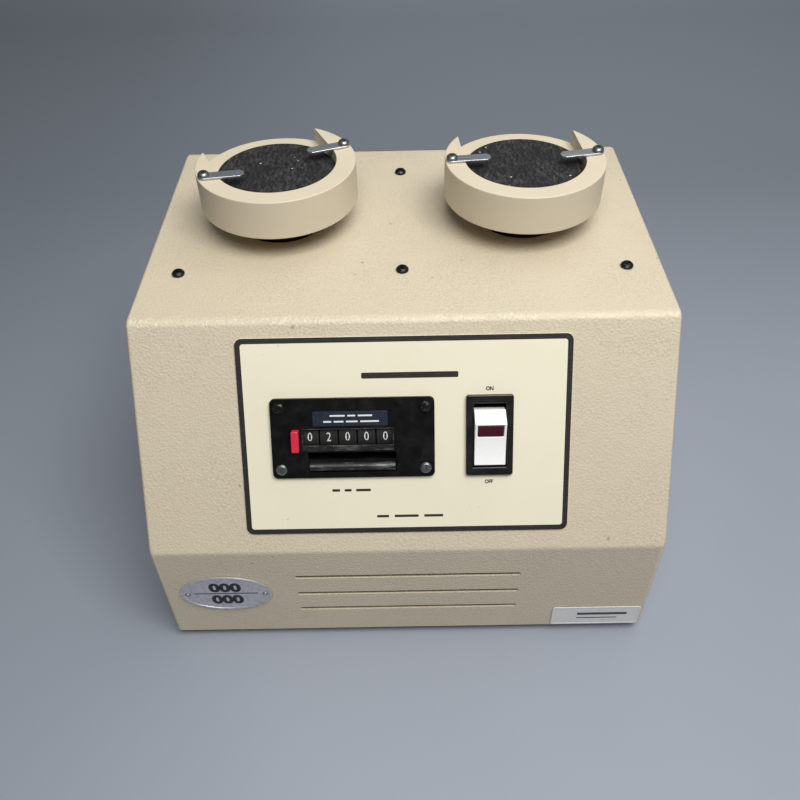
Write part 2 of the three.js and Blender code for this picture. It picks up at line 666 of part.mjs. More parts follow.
/** The turned cup, with a straight slot as wide as its pocket milled through the back of its rim. */
function cup() {
  const socket = SHAFT_RADIUS + RUNNING_RADIUS;
  const socketTop = CUP.bottom + CUP_SOCKET_DEPTH;
  const blank = turned([
    [0, socketTop],
    [socket, socketTop],
    [socket, CUP.bottom],
    [CUP.radius - CUP_CHAMFER, CUP.bottom],
    [CUP.radius, CUP.bottom + CUP_CHAMFER],
    [CUP.radius, CUP.top - CUP_CHAMFER],
    [CUP.radius - CUP_CHAMFER, CUP.top],
    [CUP.pocketRadius, CUP.top],
    [CUP.pocketRadius, CUP.padFloor],
    [0, CUP.padFloor],
  ], 56);
  const slot = boxBetween(
    [-CUP.pocketRadius, 0, CUP.slotFloor],
    [CUP.pocketRadius, CUP.radius + PAST, CUP.top + PAST],
  );
  const holes = SIDES.map(([, sign]) =>
    screwHole(SCREWS.clip, CUP.padFloor, CUP.top + PAST).translate(sign * CLIP.pivot, 0, 0));
  return cut(blank, slot, ...holes);
}

/** A flat clip that points along +X: round about its screw, with the corners cut off its tip. */
function clip() {
  const half = CLIP.width / 2;
  const outline = new THREE.Shape();
  outline.absarc(0, 0, half, Math.PI / 2, Math.PI * 1.5, false);
  outline.lineTo(CLIP.reach - CLIP.corner, -half);
  outline.lineTo(CLIP.reach, -half + CLIP.corner);
  outline.lineTo(CLIP.reach, half - CLIP.corner);
  outline.lineTo(CLIP.reach - CLIP.corner, half);
  outline.closePath();
  return cut(plate(outline, 0, CLIP.thickness, 8), screwHole(SCREWS.clip, -PAST, PAST));
}

/** The follower under a shaft: a blunt cone that rides on the cam, with a socket for the shaft. */
function camLifter() {
  const socket = SHAFT_RADIUS + RUNNING_RADIUS;
  return turned([
    [0, 0],
    [LIFTER.tipRadius, 0],
    [LIFTER.radius, LIFTER.coneHeight],
    [LIFTER.radius, LIFTER.height],
    [socket, LIFTER.height],
    [socket, LIFTER.socketFloor],
    [0, LIFTER.socketFloor],
  ], 20);
}

function addStation(object, side, sign) {
  const station = groupAt(sign * STATION_X, STATION_Y, DECK_Z, { z: STATION_TURN[side] });
  station.add(piece(`${side}_guide_collar`, guideCollar(), blackPlastic));
  station.add(piece(`${side}_cup`, cup(), cupPlastic));
  const padLow = CUP.padFloor + GAP;
  const pad = rod(CUP.pocketRadius - GAP, padLow, padLow + PAD_THICKNESS, 48);
  station.add(piece(`${side}_pad`, pad, padRubber));

  const lifterZ = CAM.axisZ + CAM.baseRadius + CAM.clearance - DECK_Z;
  const lifter = piece(`${side}_cam_lifter`, camLifter(), brightSteel);
  lifter.position.z = lifterZ;
  const shaftTop = CUP.bottom + CUP_SOCKET_DEPTH - GAP;
  const shaft = rod(SHAFT_RADIUS, lifterZ + LIFTER.socketFloor + GAP, shaftTop, 24);
  station.add(lifter, piece(`${side}_tap_shaft`, shaft, brightSteel));

  [-1, 1].forEach((end, i) => {
    const clipName = `${side}_clip_${i + 1}`;
    const holder = groupAt(end * CLIP.pivot, 0, CUP.top + GAP);
    const facing = end < 0 ? 0 : Math.PI;
    const strip = piece(clipName, clip(), brightSteel);
    strip.rotation.z = facing + THREE.MathUtils.degToRad(CLIP_TURN[side][i]);
    const fastener = piece(`${clipName}_screw`, screw(SCREWS.clip), blackScrew);
    fastener.position.z = CLIP.thickness + GAP;
    holder.add(strip, fastener);
    station.add(holder);
  });
  object.add(station);
}

// ---- Drive under the deck ----

/** The stiff plate under the deck that carries the guide collars and the shaft hangers. */
function bridgePlate() {
  const outline = roundedRectangle(BRIDGE.width, BRIDGE.depth, 4, 0, BRIDGE.y);
  return cut(plate(outline, BRIDGE_BOTTOM, BRIDGE_TOP), ...collarHoles(), ...deckScrewHoles());
}

/** A bore along X that the camshaft runs in. */
function camshaftBore(length) {
  return rodAlongX(CAM.shaftRadius + RUNNING_RADIUS, length, 0, 16);
}

/** A hanger plate with a bearing boss, in the camshaft's frame. */
function bearingHanger() {
  const top = BRIDGE_BOTTOM - GAP - CAM.axisZ;
  const [halfWeb, halfShoe, halfDepth] = [HANGER.thickness / 2, HANGER.shoeWidth / 2, HANGER.halfDepth];
  const web = boxBetween([-halfWeb, -halfDepth, -HANGER.below], [halfWeb, halfDepth, top]);
  const shoe = boxBetween([-halfShoe, -halfDepth, top - HANGER.thickness], [halfShoe, halfDepth, top]);
  const boss = rodAlongX(HANGER_BOSS.radius, HANGER_BOSS.length);
  return cut(join(web, shoe, boss), camshaftBore(HANGER_BOSS.length + PAST));
}

/** The snail cam's outline, in Y and Z: a slow even rise, a short dwell and a sudden drop. */
function camOutline() {
  const outline = new THREE.Shape();
  const lowDwell = 360 - CAM_RISE_DEG - CAM_DWELL_DEG - CAM_DROP_DEG;
  const point = (turnDeg, radius) => {
    const angle = THREE.MathUtils.degToRad(90 - turnDeg);
    return [radius * Math.cos(angle), radius * Math.sin(angle)];
  };
  outline.moveTo(...point(-lowDwell, CAM.baseRadius));
  outline.lineTo(...point(-lowDwell / 2, CAM.baseRadius));
  const steps = 30;
  for (let i = 0; i <= steps; i += 1) {
    outline.lineTo(...point((CAM_RISE_DEG * i) / steps, CAM.baseRadius + (CAM.lift * i) / steps));
  }
  outline.lineTo(...point(CAM_RISE_DEG + CAM_DWELL_DEG / 2, CAM.baseRadius + CAM.lift));
  outline.lineTo(...point(CAM_RISE_DEG + CAM_DWELL_DEG, CAM.baseRadius + CAM.lift));
  outline.closePath();
  return outline;
}

function snailCam() {
  return cut(plateAcross(camOutline(), CAM.thickness), camshaftBore(CAM.thickness + PAST));
}

/** A right-angle gearmotor standing on the base plate, with the camshaft through its gearbox. */
function gearmotor() {
  const bottom = BASE_TOP + GAP - CAM.axisZ;
  const gearbox = boxBetween(
    [-GEARBOX.halfWidth, -GEARBOX.halfDepth, -GEARBOX.below],
    [GEARBOX.halfWidth, GEARBOX.halfDepth, GEARBOX.above],
  );
  const motor = rod(MOTOR.radius, bottom + 1, 1 - GEARBOX.below, 28);
  const flange = boxBetween(
    [-MOTOR.flangeHalfWidth, -MOTOR.flangeHalfWidth, bottom],
    [MOTOR.flangeHalfWidth, MOTOR.flangeHalfWidth, bottom + MOTOR.flangeThickness],
  );
  return cut(join(gearbox, motor, flange), camshaftBore(2 * GEARBOX.halfWidth + PAST));
}

/** The switch that counts the taps: a body beside the cam, on an arm that hangs from the bridge. */
function countSwitch() {
  const { halfWidth, halfHeight, button, halfButton, depth, arm } = COUNT_SWITCH;
  const near = CAM.baseRadius + CAM.lift + COUNT_SWITCH_CLEARANCE;
  const bodyNear = near + button;
  const bodyFar = bodyNear + depth;
  const top = BRIDGE_BOTTOM - GAP - CAM.axisZ;
  return join(
    boxBetween([-halfWidth, bodyNear, -halfHeight], [halfWidth, bodyFar, halfHeight]),
    boxBetween([-halfButton, near, -halfButton], [halfButton, bodyNear + 1, halfButton]),
    boxBetween([-halfWidth, bodyFar - 1, -halfHeight], [halfWidth, bodyFar - 1 + arm, top]),
  );
}

function addDrive(object) {
  object.add(piece("bridge_plate", bridgePlate(), platedSteel));
  const drive = groupAt(0, STATION_Y, CAM.axisZ);
  drive.add(piece("camshaft", rodAlongX(CAM.shaftRadius, CAMSHAFT_LENGTH, 0, 16), brightSteel));
  drive.add(piece("gearmotor", gearmotor(), greyPaint));
  for (const [side, sign] of SIDES) {
    const cam = piece(`${side}_cam`, snailCam(), brightSteel);
    cam.position.x = sign * STATION_X;
    const hanger = piece(`${side}_bearing_hanger`, bearingHanger(), platedSteel);
    hanger.position.x = sign * HANGER.x;
    drive.add(cam, hanger);
  }
  const counterSwitch = piece("count_switch", countSwitch(), blackPlastic);
  counterSwitch.position.x = STATION_X;
  drive.add(counterSwitch);
  object.add(drive);
}

// ---- Assembly ----

const tester = new THREE.Group();
addHousing(tester);
addFrontPlates(tester);
addInlet(tester);
addPanel(tester);
for (const [side, sign] of SIDES) {
  addStation(tester, side, sign);
}
addDrive(tester);

export default tester;
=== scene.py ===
"""The looks of a two-station tapping tester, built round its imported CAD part.

Geometry is made in millimetres and scaled to metres as each piece is placed. A piece stands in the
same frame as the CAD: +X to the operator's right, -Y to the operator, +Z up, origin on the table.
"""

import json
import math

import bmesh
import bpy
from mathutils import Matrix, Vector

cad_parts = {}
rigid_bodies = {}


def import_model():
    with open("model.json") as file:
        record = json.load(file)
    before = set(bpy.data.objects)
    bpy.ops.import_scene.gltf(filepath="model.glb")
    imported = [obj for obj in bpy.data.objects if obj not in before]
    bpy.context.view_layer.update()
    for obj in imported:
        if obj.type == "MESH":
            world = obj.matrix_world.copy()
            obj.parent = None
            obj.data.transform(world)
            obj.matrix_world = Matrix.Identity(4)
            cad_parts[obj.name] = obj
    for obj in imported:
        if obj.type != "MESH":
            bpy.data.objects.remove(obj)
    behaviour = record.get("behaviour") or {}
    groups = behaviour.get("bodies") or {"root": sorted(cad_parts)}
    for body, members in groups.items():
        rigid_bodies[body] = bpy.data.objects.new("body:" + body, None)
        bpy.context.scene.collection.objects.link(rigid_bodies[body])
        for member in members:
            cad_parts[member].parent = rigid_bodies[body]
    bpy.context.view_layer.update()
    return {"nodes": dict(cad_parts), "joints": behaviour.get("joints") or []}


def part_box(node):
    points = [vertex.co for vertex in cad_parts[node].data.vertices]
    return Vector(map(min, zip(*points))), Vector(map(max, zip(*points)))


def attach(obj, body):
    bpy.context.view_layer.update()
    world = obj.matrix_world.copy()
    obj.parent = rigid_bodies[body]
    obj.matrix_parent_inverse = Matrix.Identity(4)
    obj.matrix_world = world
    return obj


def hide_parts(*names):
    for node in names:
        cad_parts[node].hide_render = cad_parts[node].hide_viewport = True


for leftover in list(bpy.data.objects):
    bpy.data.objects.remove(leftover)
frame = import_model()

# ---- Places that come from the frame ----

MM = 0.001
TO_METRES = Matrix.Scale(MM, 4)
JOINTS = {joint["name"]: joint for joint in frame["joints"]}


def box_mm(node):
    """The lowest and highest corner of a CAD node, in millimetres."""
    low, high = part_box(node)
    return low / MM, high / MM


def middle_of(node):
    """The middle of a CAD node's box, in millimetres."""
    low, high = box_mm(node)
    return (low + high) / 2


def pivot(joint):
    """The point that a joint turns about, in millimetres."""
    return Vector(JOINTS[joint]["pos_m"]) / MM


COVER_LOW, COVER_HIGH = box_mm("housing_cover")
DECK_Z = COVER_HIGH.z
FRONT_Y = COVER_LOW.y
BACK_Y = COVER_HIGH.y
PANEL_NORMAL = Vector(JOINTS["preset_press"]["axis"])
PANEL_TILT = math.atan2(-PANEL_NORMAL.y, PANEL_NORMAL.z)

# ---- Driving dimensions, in millimetres ----

WALL = 3.5
PANEL_RUN = 67.2  # how far the sloped panel comes forward
BEND_RADIUS = 6.0
RIM_RADIUS = 2.0  # where the side walls meet the deck and the slope
FRONT_CORNER_RADIUS = 3.0
BACK_CORNER_RADIUS = 8.0
BEND_Y = FRONT_Y + PANEL_RUN

GROOVE = {"length": 138.0, "width": 3.0, "depth": 2.4, "heights": (66.5, 48.9, 31.9)}
DECK_PIT = {"x": 147.6, "y": 79.8, "radius": 0.7, "depth": 0.6}

CUP = {"radius": 48.3, "bottom": 16.0, "top": 40.0, "pocket": 36.5, "slot_floor": 31.0, "floor": 30.0}
CUP_EDGE = 0.25  # the rounding of the cup's cut edges
CUP_SOCKET = {"radius": 8.3, "top": 26.0}
PAD = {"radius": 36.2, "low": 30.3, "high": 33.7}
COLLAR = {"radius": 27.0, "stem": 15.0, "bore": 8.3, "low": -17.0, "foot": 0.3, "top": 15.7}
COLLAR_HOLE_RADIUS = 15.3
CLIP = {"reach": 23.4, "width": 7.2, "corner": 2.2, "thickness": 1.2, "hole": 1.8}
CLIP_LEVEL = 40.3  # a clip's underside, above the deck
CLIP_TURN = {"left": (-16.5, -4.2), "right": (1.0, 6.0)}  # each station's two clips at rest, in degrees

OVERLAY = {"width": 187.0, "height": 116.4, "down": 68.1, "radius": 4.0, "back": 0.3, "front": 0.8}
BORDER_WIDTH = 3.2
PRINT = 0.04  # the thickness of printed ink
# Rows of bars in place of words: each bar's length, then their height, spacing and middle
TITLE_BARS = {"lengths": [54], "height": 3.4, "gap": 0, "x": 3, "y": -32}
CAPTION_BARS = {"lengths": [4.5, 4.0, 8.5], "height": 1.5, "gap": 2.6, "x": -31.5, "y": -99.6}
FOOTER_BARS = {"lengths": [7, 14, 11], "height": 1.5, "gap": 3.2, "x": 2, "y": -116}
SWITCH_WORDS = {"ON": 40.5, "OFF": 95.6}  # how far each stands down the panel
SWITCH_WORD = {"height": 2.4, "breadth": 0.88, "boldness": 0.045}

COUNTER = {"width": 92.2, "height": 46.8, "back": 1.1, "front": 3.1, "radius": 3.0}
WINDOW = {"x": -2.8, "y": 0.6, "width": 50.5, "height": 9.2}
LOWER_SLOT = {"x": -0.6, "y": -14.2, "width": 50.0, "height": 11.9}
GUARD_BAR = {"radius": 2.6, "above_foot": 0.5, "straight": 0.6}
RED_BUTTON = {"x": -32.4, "y": -0.9, "width": 4.3, "height": 12.4, "low": -6.5, "high": 7.0}
CASE = {"x": -3.9, "width": 67.0, "height": 40.0}
COUNTER_SCREW = {"x": 41.0, "y": 18.0}
WHEEL = {"x": -24.5, "y": 0.2, "z": -11.9, "radius": 12.5, "width": 10.1, "bore": 2.3}
WHEEL_BAND = {"width": 7.4, "depth": 0.2}  # the sunk band that carries the digits
DIGIT_HEIGHT = 5.3
READING = (0, 2, 0, 0, 0)  # what the five wheels show at rest
STRIP = {"x": -1.2, "y": 11.6, "width": 42.0, "height": 8.5, "thickness": 0.15}  # the label over the window
STRIP_UPPER = {"lengths": [8.5, 4.5, 8], "height": 0.9, "gap": 1.4, "x": -0.7, "y": 13.3}
STRIP_LOWER = {"lengths": [4.5, 5.5, 6.5, 10.5], "height": 0.9, "gap": 1.4, "x": -0.7, "y": 9.9}

SWITCH = {"width": 26.6, "height": 47.3, "back": 1.1, "front": 3.6, "low": -24.0, "radius": 1.5}
SWITCH_BODY = {"width": 22.0, "height": 42.0}
SWITCH_CAVITY = {"width": 18.6, "height": 37.4, "low": -14.0}
ROCKER = {"width": 17.6, "ridge": (8.8, 11.0), "toe": (-17.0, 5.0), "top": 15.0, "side": -3.0}
ROCKER_KEEL = {"half_length": 9.0, "low": -8.0}
ROCKER_SAG = 1.2
ROCKER_PIVOT_DEPTH = 1.0
LENS = {"width": 14.2, "length": 7.2, "thickness": 1.0, "below_ridge": 1.2, "proud": 0.1}
LENS_GAP = 0.3

TAG = {"x": -113.1, "z": 51.6, "width": 57.2, "height": 35.0, "back": 0.3, "front": 1.3}
TAG_RIM = {"width": 1.6, "height": 0.35}
TAG_RIVET = {"x": 24.2, "z": -1.0, "radius": 1.4, "gap": 0.5}
TAG_RULE = {"length": 39.2, "height": 0.8, "z": 0.2}
TAG_DIGITS = {"height": 9.6, "breadth": 1.08, "boldness": 0.05}
TAG_ROW = 6.4  # a row of digits, above or below the tag's middle
LABEL = {"x": 121.2, "z": 18.9, "width": 56.6, "height": 19.5, "back": 0.3, "front": 0.8}
LABEL_RIM = {"width": 1.2, "height": 0.15}
LABEL_BARS = ((32, 2.6, 4, 2.2), (26, 1.0, 1, -2.4))  # each one's length, height, and place across and up

SIDE_SCREW_GAP = 0.3
SCREW = {  # head radius and height, then shank radius and length
    "deck": (3.7, 2.4, 2.0, 9.0),
    "side": (4.2, 2.2, 2.0, 10.0),
    "counter": (3.2, 1.6, 1.3, 6.0),
    "clip": (3.4, 2.2, 1.5, 8.0),
}
SCREW_CLEARANCE = 0.3

INLET = {"x": -95.0, "z": 45.0, "width": 48.0, "height": 28.0, "flange": 1.5, "inside": 20.0}
SOCKET = {"width": 24.6, "height": 16.6, "depth": 16.0, "wall": 1.9}
PIN = {"width": 2.0, "height": 5.0, "length": 12.0, "pitch": 7.0, "rise": 3.2}
CUT_MARGIN = 0.6

# ---- Frames that pieces are built in ----


def on_panel(origin):
    """A frame on the sloped panel: X to the right, Y up the slope, Z out of it."""
    return Matrix.Translation(origin) @ Matrix.Rotation(PANEL_TILT, 4, "X")


PANEL = on_panel((0, BEND_Y, DECK_Z))
COUNTER_FRAME = on_panel(pivot("wheel_1_turn")) @ Matrix.Translation((-WHEEL["x"], -WHEEL["y"], -WHEEL["z"]))
SWITCH_FRAME = on_panel(pivot("rocker_tilt")) @ Matrix.Translation((0, 0, ROCKER_PIVOT_DEPTH))
ALONG_X = Matrix(((0, 0, 1, 0), (1, 0, 0, 0), (0, 1, 0, 0), (0, 0, 0, 1)))  # X and Y go to Y and Z
FACING_FRONT = Matrix.Rotation(math.pi / 2, 4, "X")  # X and Y go to X and Z, Z comes forward
FACING_BACK = Matrix.Rotation(math.pi, 4, "Z") @ FACING_FRONT


def station_frame(side):
    """A cup station's frame: on the deck under the cup's middle, turned as the cup is."""
    across = pivot(f"{side}_clip_b_swivel") - pivot(f"{side}_clip_a_swivel")
    centre = pivot(f"{side}_cup_turn")
    turn = Matrix.Rotation(math.atan2(across.y, across.x), 4, "Z")
    return Matrix.Translation((centre.x, centre.y, DECK_Z)) @ turn


# ---- Mesh helpers ----


def rounded_outline(corners, steps=6):
    """Points round a polygon of (x, y, radius) corners, which go round anticlockwise."""
    points = []
    for i, (x, y, radius) in enumerate(corners):
        here = Vector((x, y))
        if radius == 0:
            points.append(here)
            continue
        before = (Vector(corners[i - 1][:2]) - here).normalized()
        after = (Vector(corners[(i + 1) % len(corners)][:2]) - here).normalized()
        half = before.angle(after) / 2
        centre = here + (before + after).normalized() * radius / math.sin(half)
        start = here + before * radius / math.tan(half) - centre
        end = here + after * radius / math.tan(half) - centre
        sweep = start.angle_signed(end)
        for step in range(steps + 1):
            points.append(centre + Matrix.Rotation(-sweep * step / steps, 2) @ start)
    return points


def rounded_rectangle(width, height, radius, x=0.0, y=0.0, steps=6):
    """The outline of a rectangle with round corners, centred on (x, y)."""
    signs = ((-1, -1), (1, -1), (1, 1), (-1, 1))
    return rounded_outline([(x + sx * width / 2, y + sy * height / 2, radius) for sx, sy in signs], steps)


def outline_of(piece, radius, inset=0.0):
    """A named rectangle's outline, moved inward by inset."""
    width, height = piece["width"] - 2 * inset, piece["height"] - 2 * inset
    return rounded_rectangle(width, height, radius, piece.get("x", 0), piece.get("y", 0))


def ellipse(width, height, sides=96):
    """The outline of an ellipse centred on the origin."""
    angles = [2 * math.pi * i / sides for i in range(sides)]
    return [Vector((width / 2 * math.cos(a), height / 2 * math.sin(a))) for a in angles]


def prism(outline, low, high):
    """The outline, in X and Y, thickened from z = low to z = high."""
    bm = bmesh.new()
    lower = [bm.verts.new((x, y, low)) for x, y in outline]
    upper = [bm.verts.new((x, y, high)) for x, y in outline]
    bm.faces.new(reversed(lower))
    bm.faces.new(upper)
    for i in range(len(outline)):
        j = (i + 1) % len(outline)
        bm.faces.new((lower[i], lower[j], upper[j], upper[i]))
    return bm


def box(width, height, low, high, x=0.0, y=0.0):
    """A block centred on (x, y), from z = low to z = high."""
    return prism(rounded_rectangle(width, height, 0, x, y), low, high)


def rod(radius, low, high, sides=32, x=0.0, y=0.0):
    """An upright round tool centred on (x, y)."""
    outline = [point + Vector((x, y)) for point in ellipse(2 * radius, 2 * radius, sides)]
    return prism(outline, low, high)


def turned(corners, sides=96, steps=4):
    """A shape turned about Z from (radius, z, fillet) corners, which go round anticlockwise."""
    bm = bmesh.new()
    rings = []
    for radius, z in rounded_outline(corners, steps):
        count = sides if radius > 1e-6 else 1
        angles = [2 * math.pi * i / sides for i in range(count)]
        rings.append([bm.verts.new((radius * math.cos(a), radius * math.sin(a), z)) for a in angles])
    for i, ring in enumerate(rings):
        other = rings[(i + 1) % len(rings)]
        if len(ring) == 1 and len(other) == 1:
            continue
        for k in range(sides):
            quad = (ring[k % len(ring)], ring[(k + 1) % len(ring)],
                    other[(k + 1) % len(other)], other[k % len(other)])
            bm.faces.new(list(dict.fromkeys(quad)))
    bmesh.ops.recalc_face_normals(bm, faces=bm.faces)
    return bm


def moved(bm, matrix):
    """The same mesh after a turn or a move."""
    bm.transform(matrix)
    return bm


def merged(*meshes):
    """Several meshes as one, without joining their surfaces."""
    whole = bmesh.new()
    for bm in meshes:
        copy = bpy.data.meshes.new("merging")
        bm.to_mesh(copy)
        bm.free()
        whole.from_mesh(copy)
        bpy.data.meshes.remove(copy)
    return whole


def holder_of(bm):
    """A passing object that holds the mesh while a modifier works on it."""
    mesh = bpy.data.meshes.new("holder")
    bm.to_mesh(mesh)
    bm.free()
    holder = bpy.data.objects.new("holder", mesh)
    bpy.context.scene.collection.objects.link(holder)
    return holder


def boolean(base, tools, operation="DIFFERENCE"):
    """The base with the tools cut out of it, joined to it or shared with it. All are used up."""
    target = holder_of(base)
    holders = [holder_of(tool) for tool in tools]
    for holder in holders:
        modifier = target.modifiers.new("boolean", "BOOLEAN")
        modifier.operation = operation
        modifier.solver = "EXACT"
        modifier.object = holder
    result = bmesh.new()
    result.from_object(target, bpy.context.evaluated_depsgraph_get())
    for holder in (target, *holders):
        bpy.data.meshes.remove(holder.data)
    return result


def lettering(text, height, thickness, breadth=1.0, boldness=0.0):
    """Plain characters of a height, centred on the origin, from z = 0 to z = thickness."""
    curve = bpy.data.curves.new("lettering", "FONT")
    curve.body = text
    curve.resolution_u = 6
    curve.extrude = 0.5
    curve.offset = boldness
    holder = bpy.data.objects.new("lettering", curve)
    bpy.context.scene.collection.objects.link(holder)
    mesh = bpy.data.meshes.new_from_object(holder.evaluated_get(bpy.context.evaluated_depsgraph_get()))
    bm = bmesh.new()
    bm.from_mesh(mesh)
    bpy.data.meshes.remove(mesh)
    bpy.data.objects.remove(holder)
    bmesh.ops.remove_doubles(bm, verts=bm.verts, dist=1e-5)
    low = Vector([min(v.co[axis] for v in bm.verts) for axis in range(3)])
    high = Vector([max(v.co[axis] for v in bm.verts) for axis in range(3)])
    size = height / (high.y - low.y)
    centre = (low + high) / 2
    bm.transform(Matrix.Translation((-centre.x, -centre.y, -low.z)))
    bm.transform(Matrix.Diagonal((size * breadth, size, thickness, 1)))
    return bm


# ---- Placing pieces ----


def place(name, bm, at, body, look, replaces=(), edge=0.3, segments=2):
    """Makes a finished piece: in place, smooth, with rounded edges, riding on its body."""
    bm.transform(TO_METRES @ at)
    for face in bm.faces:
        face.smooth = True
    mesh = bpy.data.meshes.new(name)
    bm.to_mesh(mesh)
    bm.free()
    mesh.materials.append(look)
    made = bpy.data.objects.new(name, mesh)
    bpy.context.scene.collection.objects.link(made)
    round_edges(made, edge, segments)
    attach(made, body)
    if replaces:
        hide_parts(*replaces)


def round_edges(target, edge, segments):
    """Rounds a piece's sharp edges and keeps its flat faces flat to the light."""
    if edge > 0:
        bevel = target.modifiers.new("rounded", "BEVEL")
        bevel.width = edge * MM
        bevel.segments = segments
        bevel.limit_method = "ANGLE"
        bevel.angle_limit = math.radians(35)
        bevel.harden_normals = True
    weighted = target.modifiers.new("flat faces", "WEIGHTED_NORMAL")
    weighted.keep_sharp = True


def carry_over(node, look, edge=0.0):
    """Shows a CAD node as it is, with its own finish and, if asked, rounded edges."""
    shown = frame["nodes"][node]
    shown.data.materials.clear()
    shown.data.materials.append(look)
    if edge > 0:
        weld = shown.modifiers.new("weld", "WELD")
        weld.merge_threshold = 1e-6
        round_edges(shown, edge, 2)


# ---- Materials ----


class Look:
    """A node material in the making. Its textures follow the piece, in metres."""

    def __init__(self, name, color, roughness, metallic=0.0):
        self.material = bpy.data.materials.new(name)
        self.material.use_nodes = True
        self.tree = self.material.node_tree
        self.shader = self.tree.nodes["Principled BSDF"]
        self.shader.inputs["Base Color"].default_value = (*color, 1)
        self.shader.inputs["Roughness"].default_value = roughness
        self.shader.inputs["Metallic"].default_value = metallic
        self.space = self.add("ShaderNodeTexCoord").outputs["Object"]

    def add(self, kind, inputs=None, **settings):
        made = self.tree.nodes.new(kind)
        for setting, value in settings.items():
            setattr(made, setting, value)
        for socket, value in (inputs or {}).items():
            self.feed(made.inputs[socket], value)
        return made

    def feed(self, socket, value):
        if isinstance(value, bpy.types.NodeSocket):
            self.tree.links.new(value, socket)
        else:
            socket.default_value = value

    def noise(self, scale, detail=3.0, roughness=0.5, space=None):
        """Soft noise from 0 to 1."""
        inputs = {"Vector": space or self.space, "Scale": scale, "Detail": detail, "Roughness": roughness}
        return self.add("ShaderNodeTexNoise", inputs).outputs["Fac"]

    def cells(self, scale, space=None, feature="F1"):
        """The distance to the nearest of many scattered points."""
        inputs = {"Vector": space or self.space, "Scale": scale}
        return self.add("ShaderNodeTexVoronoi", inputs, feature=feature).outputs["Distance"]

    def stretched(self, scale, turn=(0.0, 0.0, 0.0)):
        """The piece's space turned and stretched, for grain and scratches."""
        inputs = {"Vector": self.space, "Rotation": turn, "Scale": scale}
        return self.add("ShaderNodeMapping", inputs).outputs[0]

    def graded(self, value, start, end, low=0.0, high=1.0):
        """The value from start to end, taken to low and high and held there."""
        inputs = {"Value": value, "From Min": start, "From Max": end, "To Min": low, "To Max": high}
        return self.add("ShaderNodeMapRange", inputs, clamp=True).outputs["Result"]

    def maths(self, operation, first, second):
        return self.add("ShaderNodeMath", {0: first, 1: second}, operation=operation).outputs[0]

    def product(self, first, second):
        return self.maths("MULTIPLY", first, second)

    def patches(self, scale, detail, start, end, most):
        """Patches of noise with soft edges, from 0 to most."""
        return self.graded(self.noise(scale, detail), start, end, 0.0, most)

    def axis(self, name):
        return self.add("ShaderNodeSeparateXYZ", {0: self.space}).outputs[name]

    def tint(self, share, color):
        """Mixes a colour into the base colour, by share."""
        target = self.shader.inputs["Base Color"]
        before = target.links[0].from_socket if target.links else tuple(target.default_value)
        mix = self.add("ShaderNodeMix", data_type="RGBA")
        self.feed(mix.inputs["Factor"], share)
        self.feed(mix.inputs[6], before)
        self.feed(mix.inputs[7], (*color, 1))
        self.tree.links.new(mix.outputs[2], target)

    def rough(self, value):
        self.tree.links.new(value, self.shader.inputs["Roughness"])

    def uneven(self, scale, detail, low, high):
        """Roughness that wanders between low and high."""
        self.rough(self.graded(self.noise(scale, detail), 0.3, 0.7, low, high))

    def bump(self, height, strength, depth_mm):
        """Raises the surface by height, over the bumps that are there already."""
        target = self.shader.inputs["Normal"]
        made = self.add("ShaderNodeBump", {"Height": height, "Strength": strength, "Distance": depth_mm * MM})
        if target.links:
            self.tree.links.new(target.links[0].from_socket, made.inputs["Normal"])
        self.tree.links.new(made.outputs["Normal"], target)

    def grain(self, scale, detail, strength, depth_mm):
        """Fine bumps of noise."""
        self.bump(self.noise(scale, detail), strength, depth_mm)

    def dull(self, level):
        """Lowers the surface's mirror-like share of light, which is 0.5 on ordinary plastic."""
        self.shader.inputs["Specular IOR Level"].default_value = level

    def coat(self, weight, roughness):
        self.shader.inputs["Coat Weight"].default_value = weight
        self.shader.inputs["Coat Roughness"].default_value = roughness


def scratches(look, scale, turn, share):
    """Sparse fine lines, from 0 to 1: the larger share, the more of them."""
    lines = look.noise(scale, 2.0, 0.6, look.stretched((0.04, 1.0, 1.0), turn))
    patches = look.noise(scale * 0.04, 1.0)
    lines = look.graded(lines, 0.74 - share, 0.78 - share)
    return look.product(lines, look.graded(patches, 0.55, 0.68))


def specks(look, scale, size):
    """Sparse round specks, from 0 to 1."""
    dots = look.graded(look.cells(scale), size, size * 0.6)
    return look.product(dots, look.graded(look.noise(scale * 0.3, 1.0), 0.6, 0.64))


def in_grooves(look):
    """The share of painted shade at the back of the front wall's grooves, from 0 to 1: a darkening that
    stands in for the shadow inside them.
    """
    reach, top = GROOVE["length"] / 2, GROOVE["heights"][0] + GROOVE["width"]
    depth = look.maths("SUBTRACT", look.axis("Y"), FRONT_Y * MM)
    behind_face = look.graded(depth, 0.0007, 0.0014, 0.0, 0.85)
    before_wall_back = look.graded(depth, 0.0034, 0.003)
    sunk = look.product(behind_face, before_wall_back)
    from_middle = look.maths("ABSOLUTE", look.axis("X"), 0.0)
    across = look.graded(from_middle, (reach + 0.7) * MM, (reach + 0.2) * MM)
    below = look.graded(look.axis("Z"), top * MM, (top - 0.5) * MM)
    return look.product(sunk, look.product(across, below))


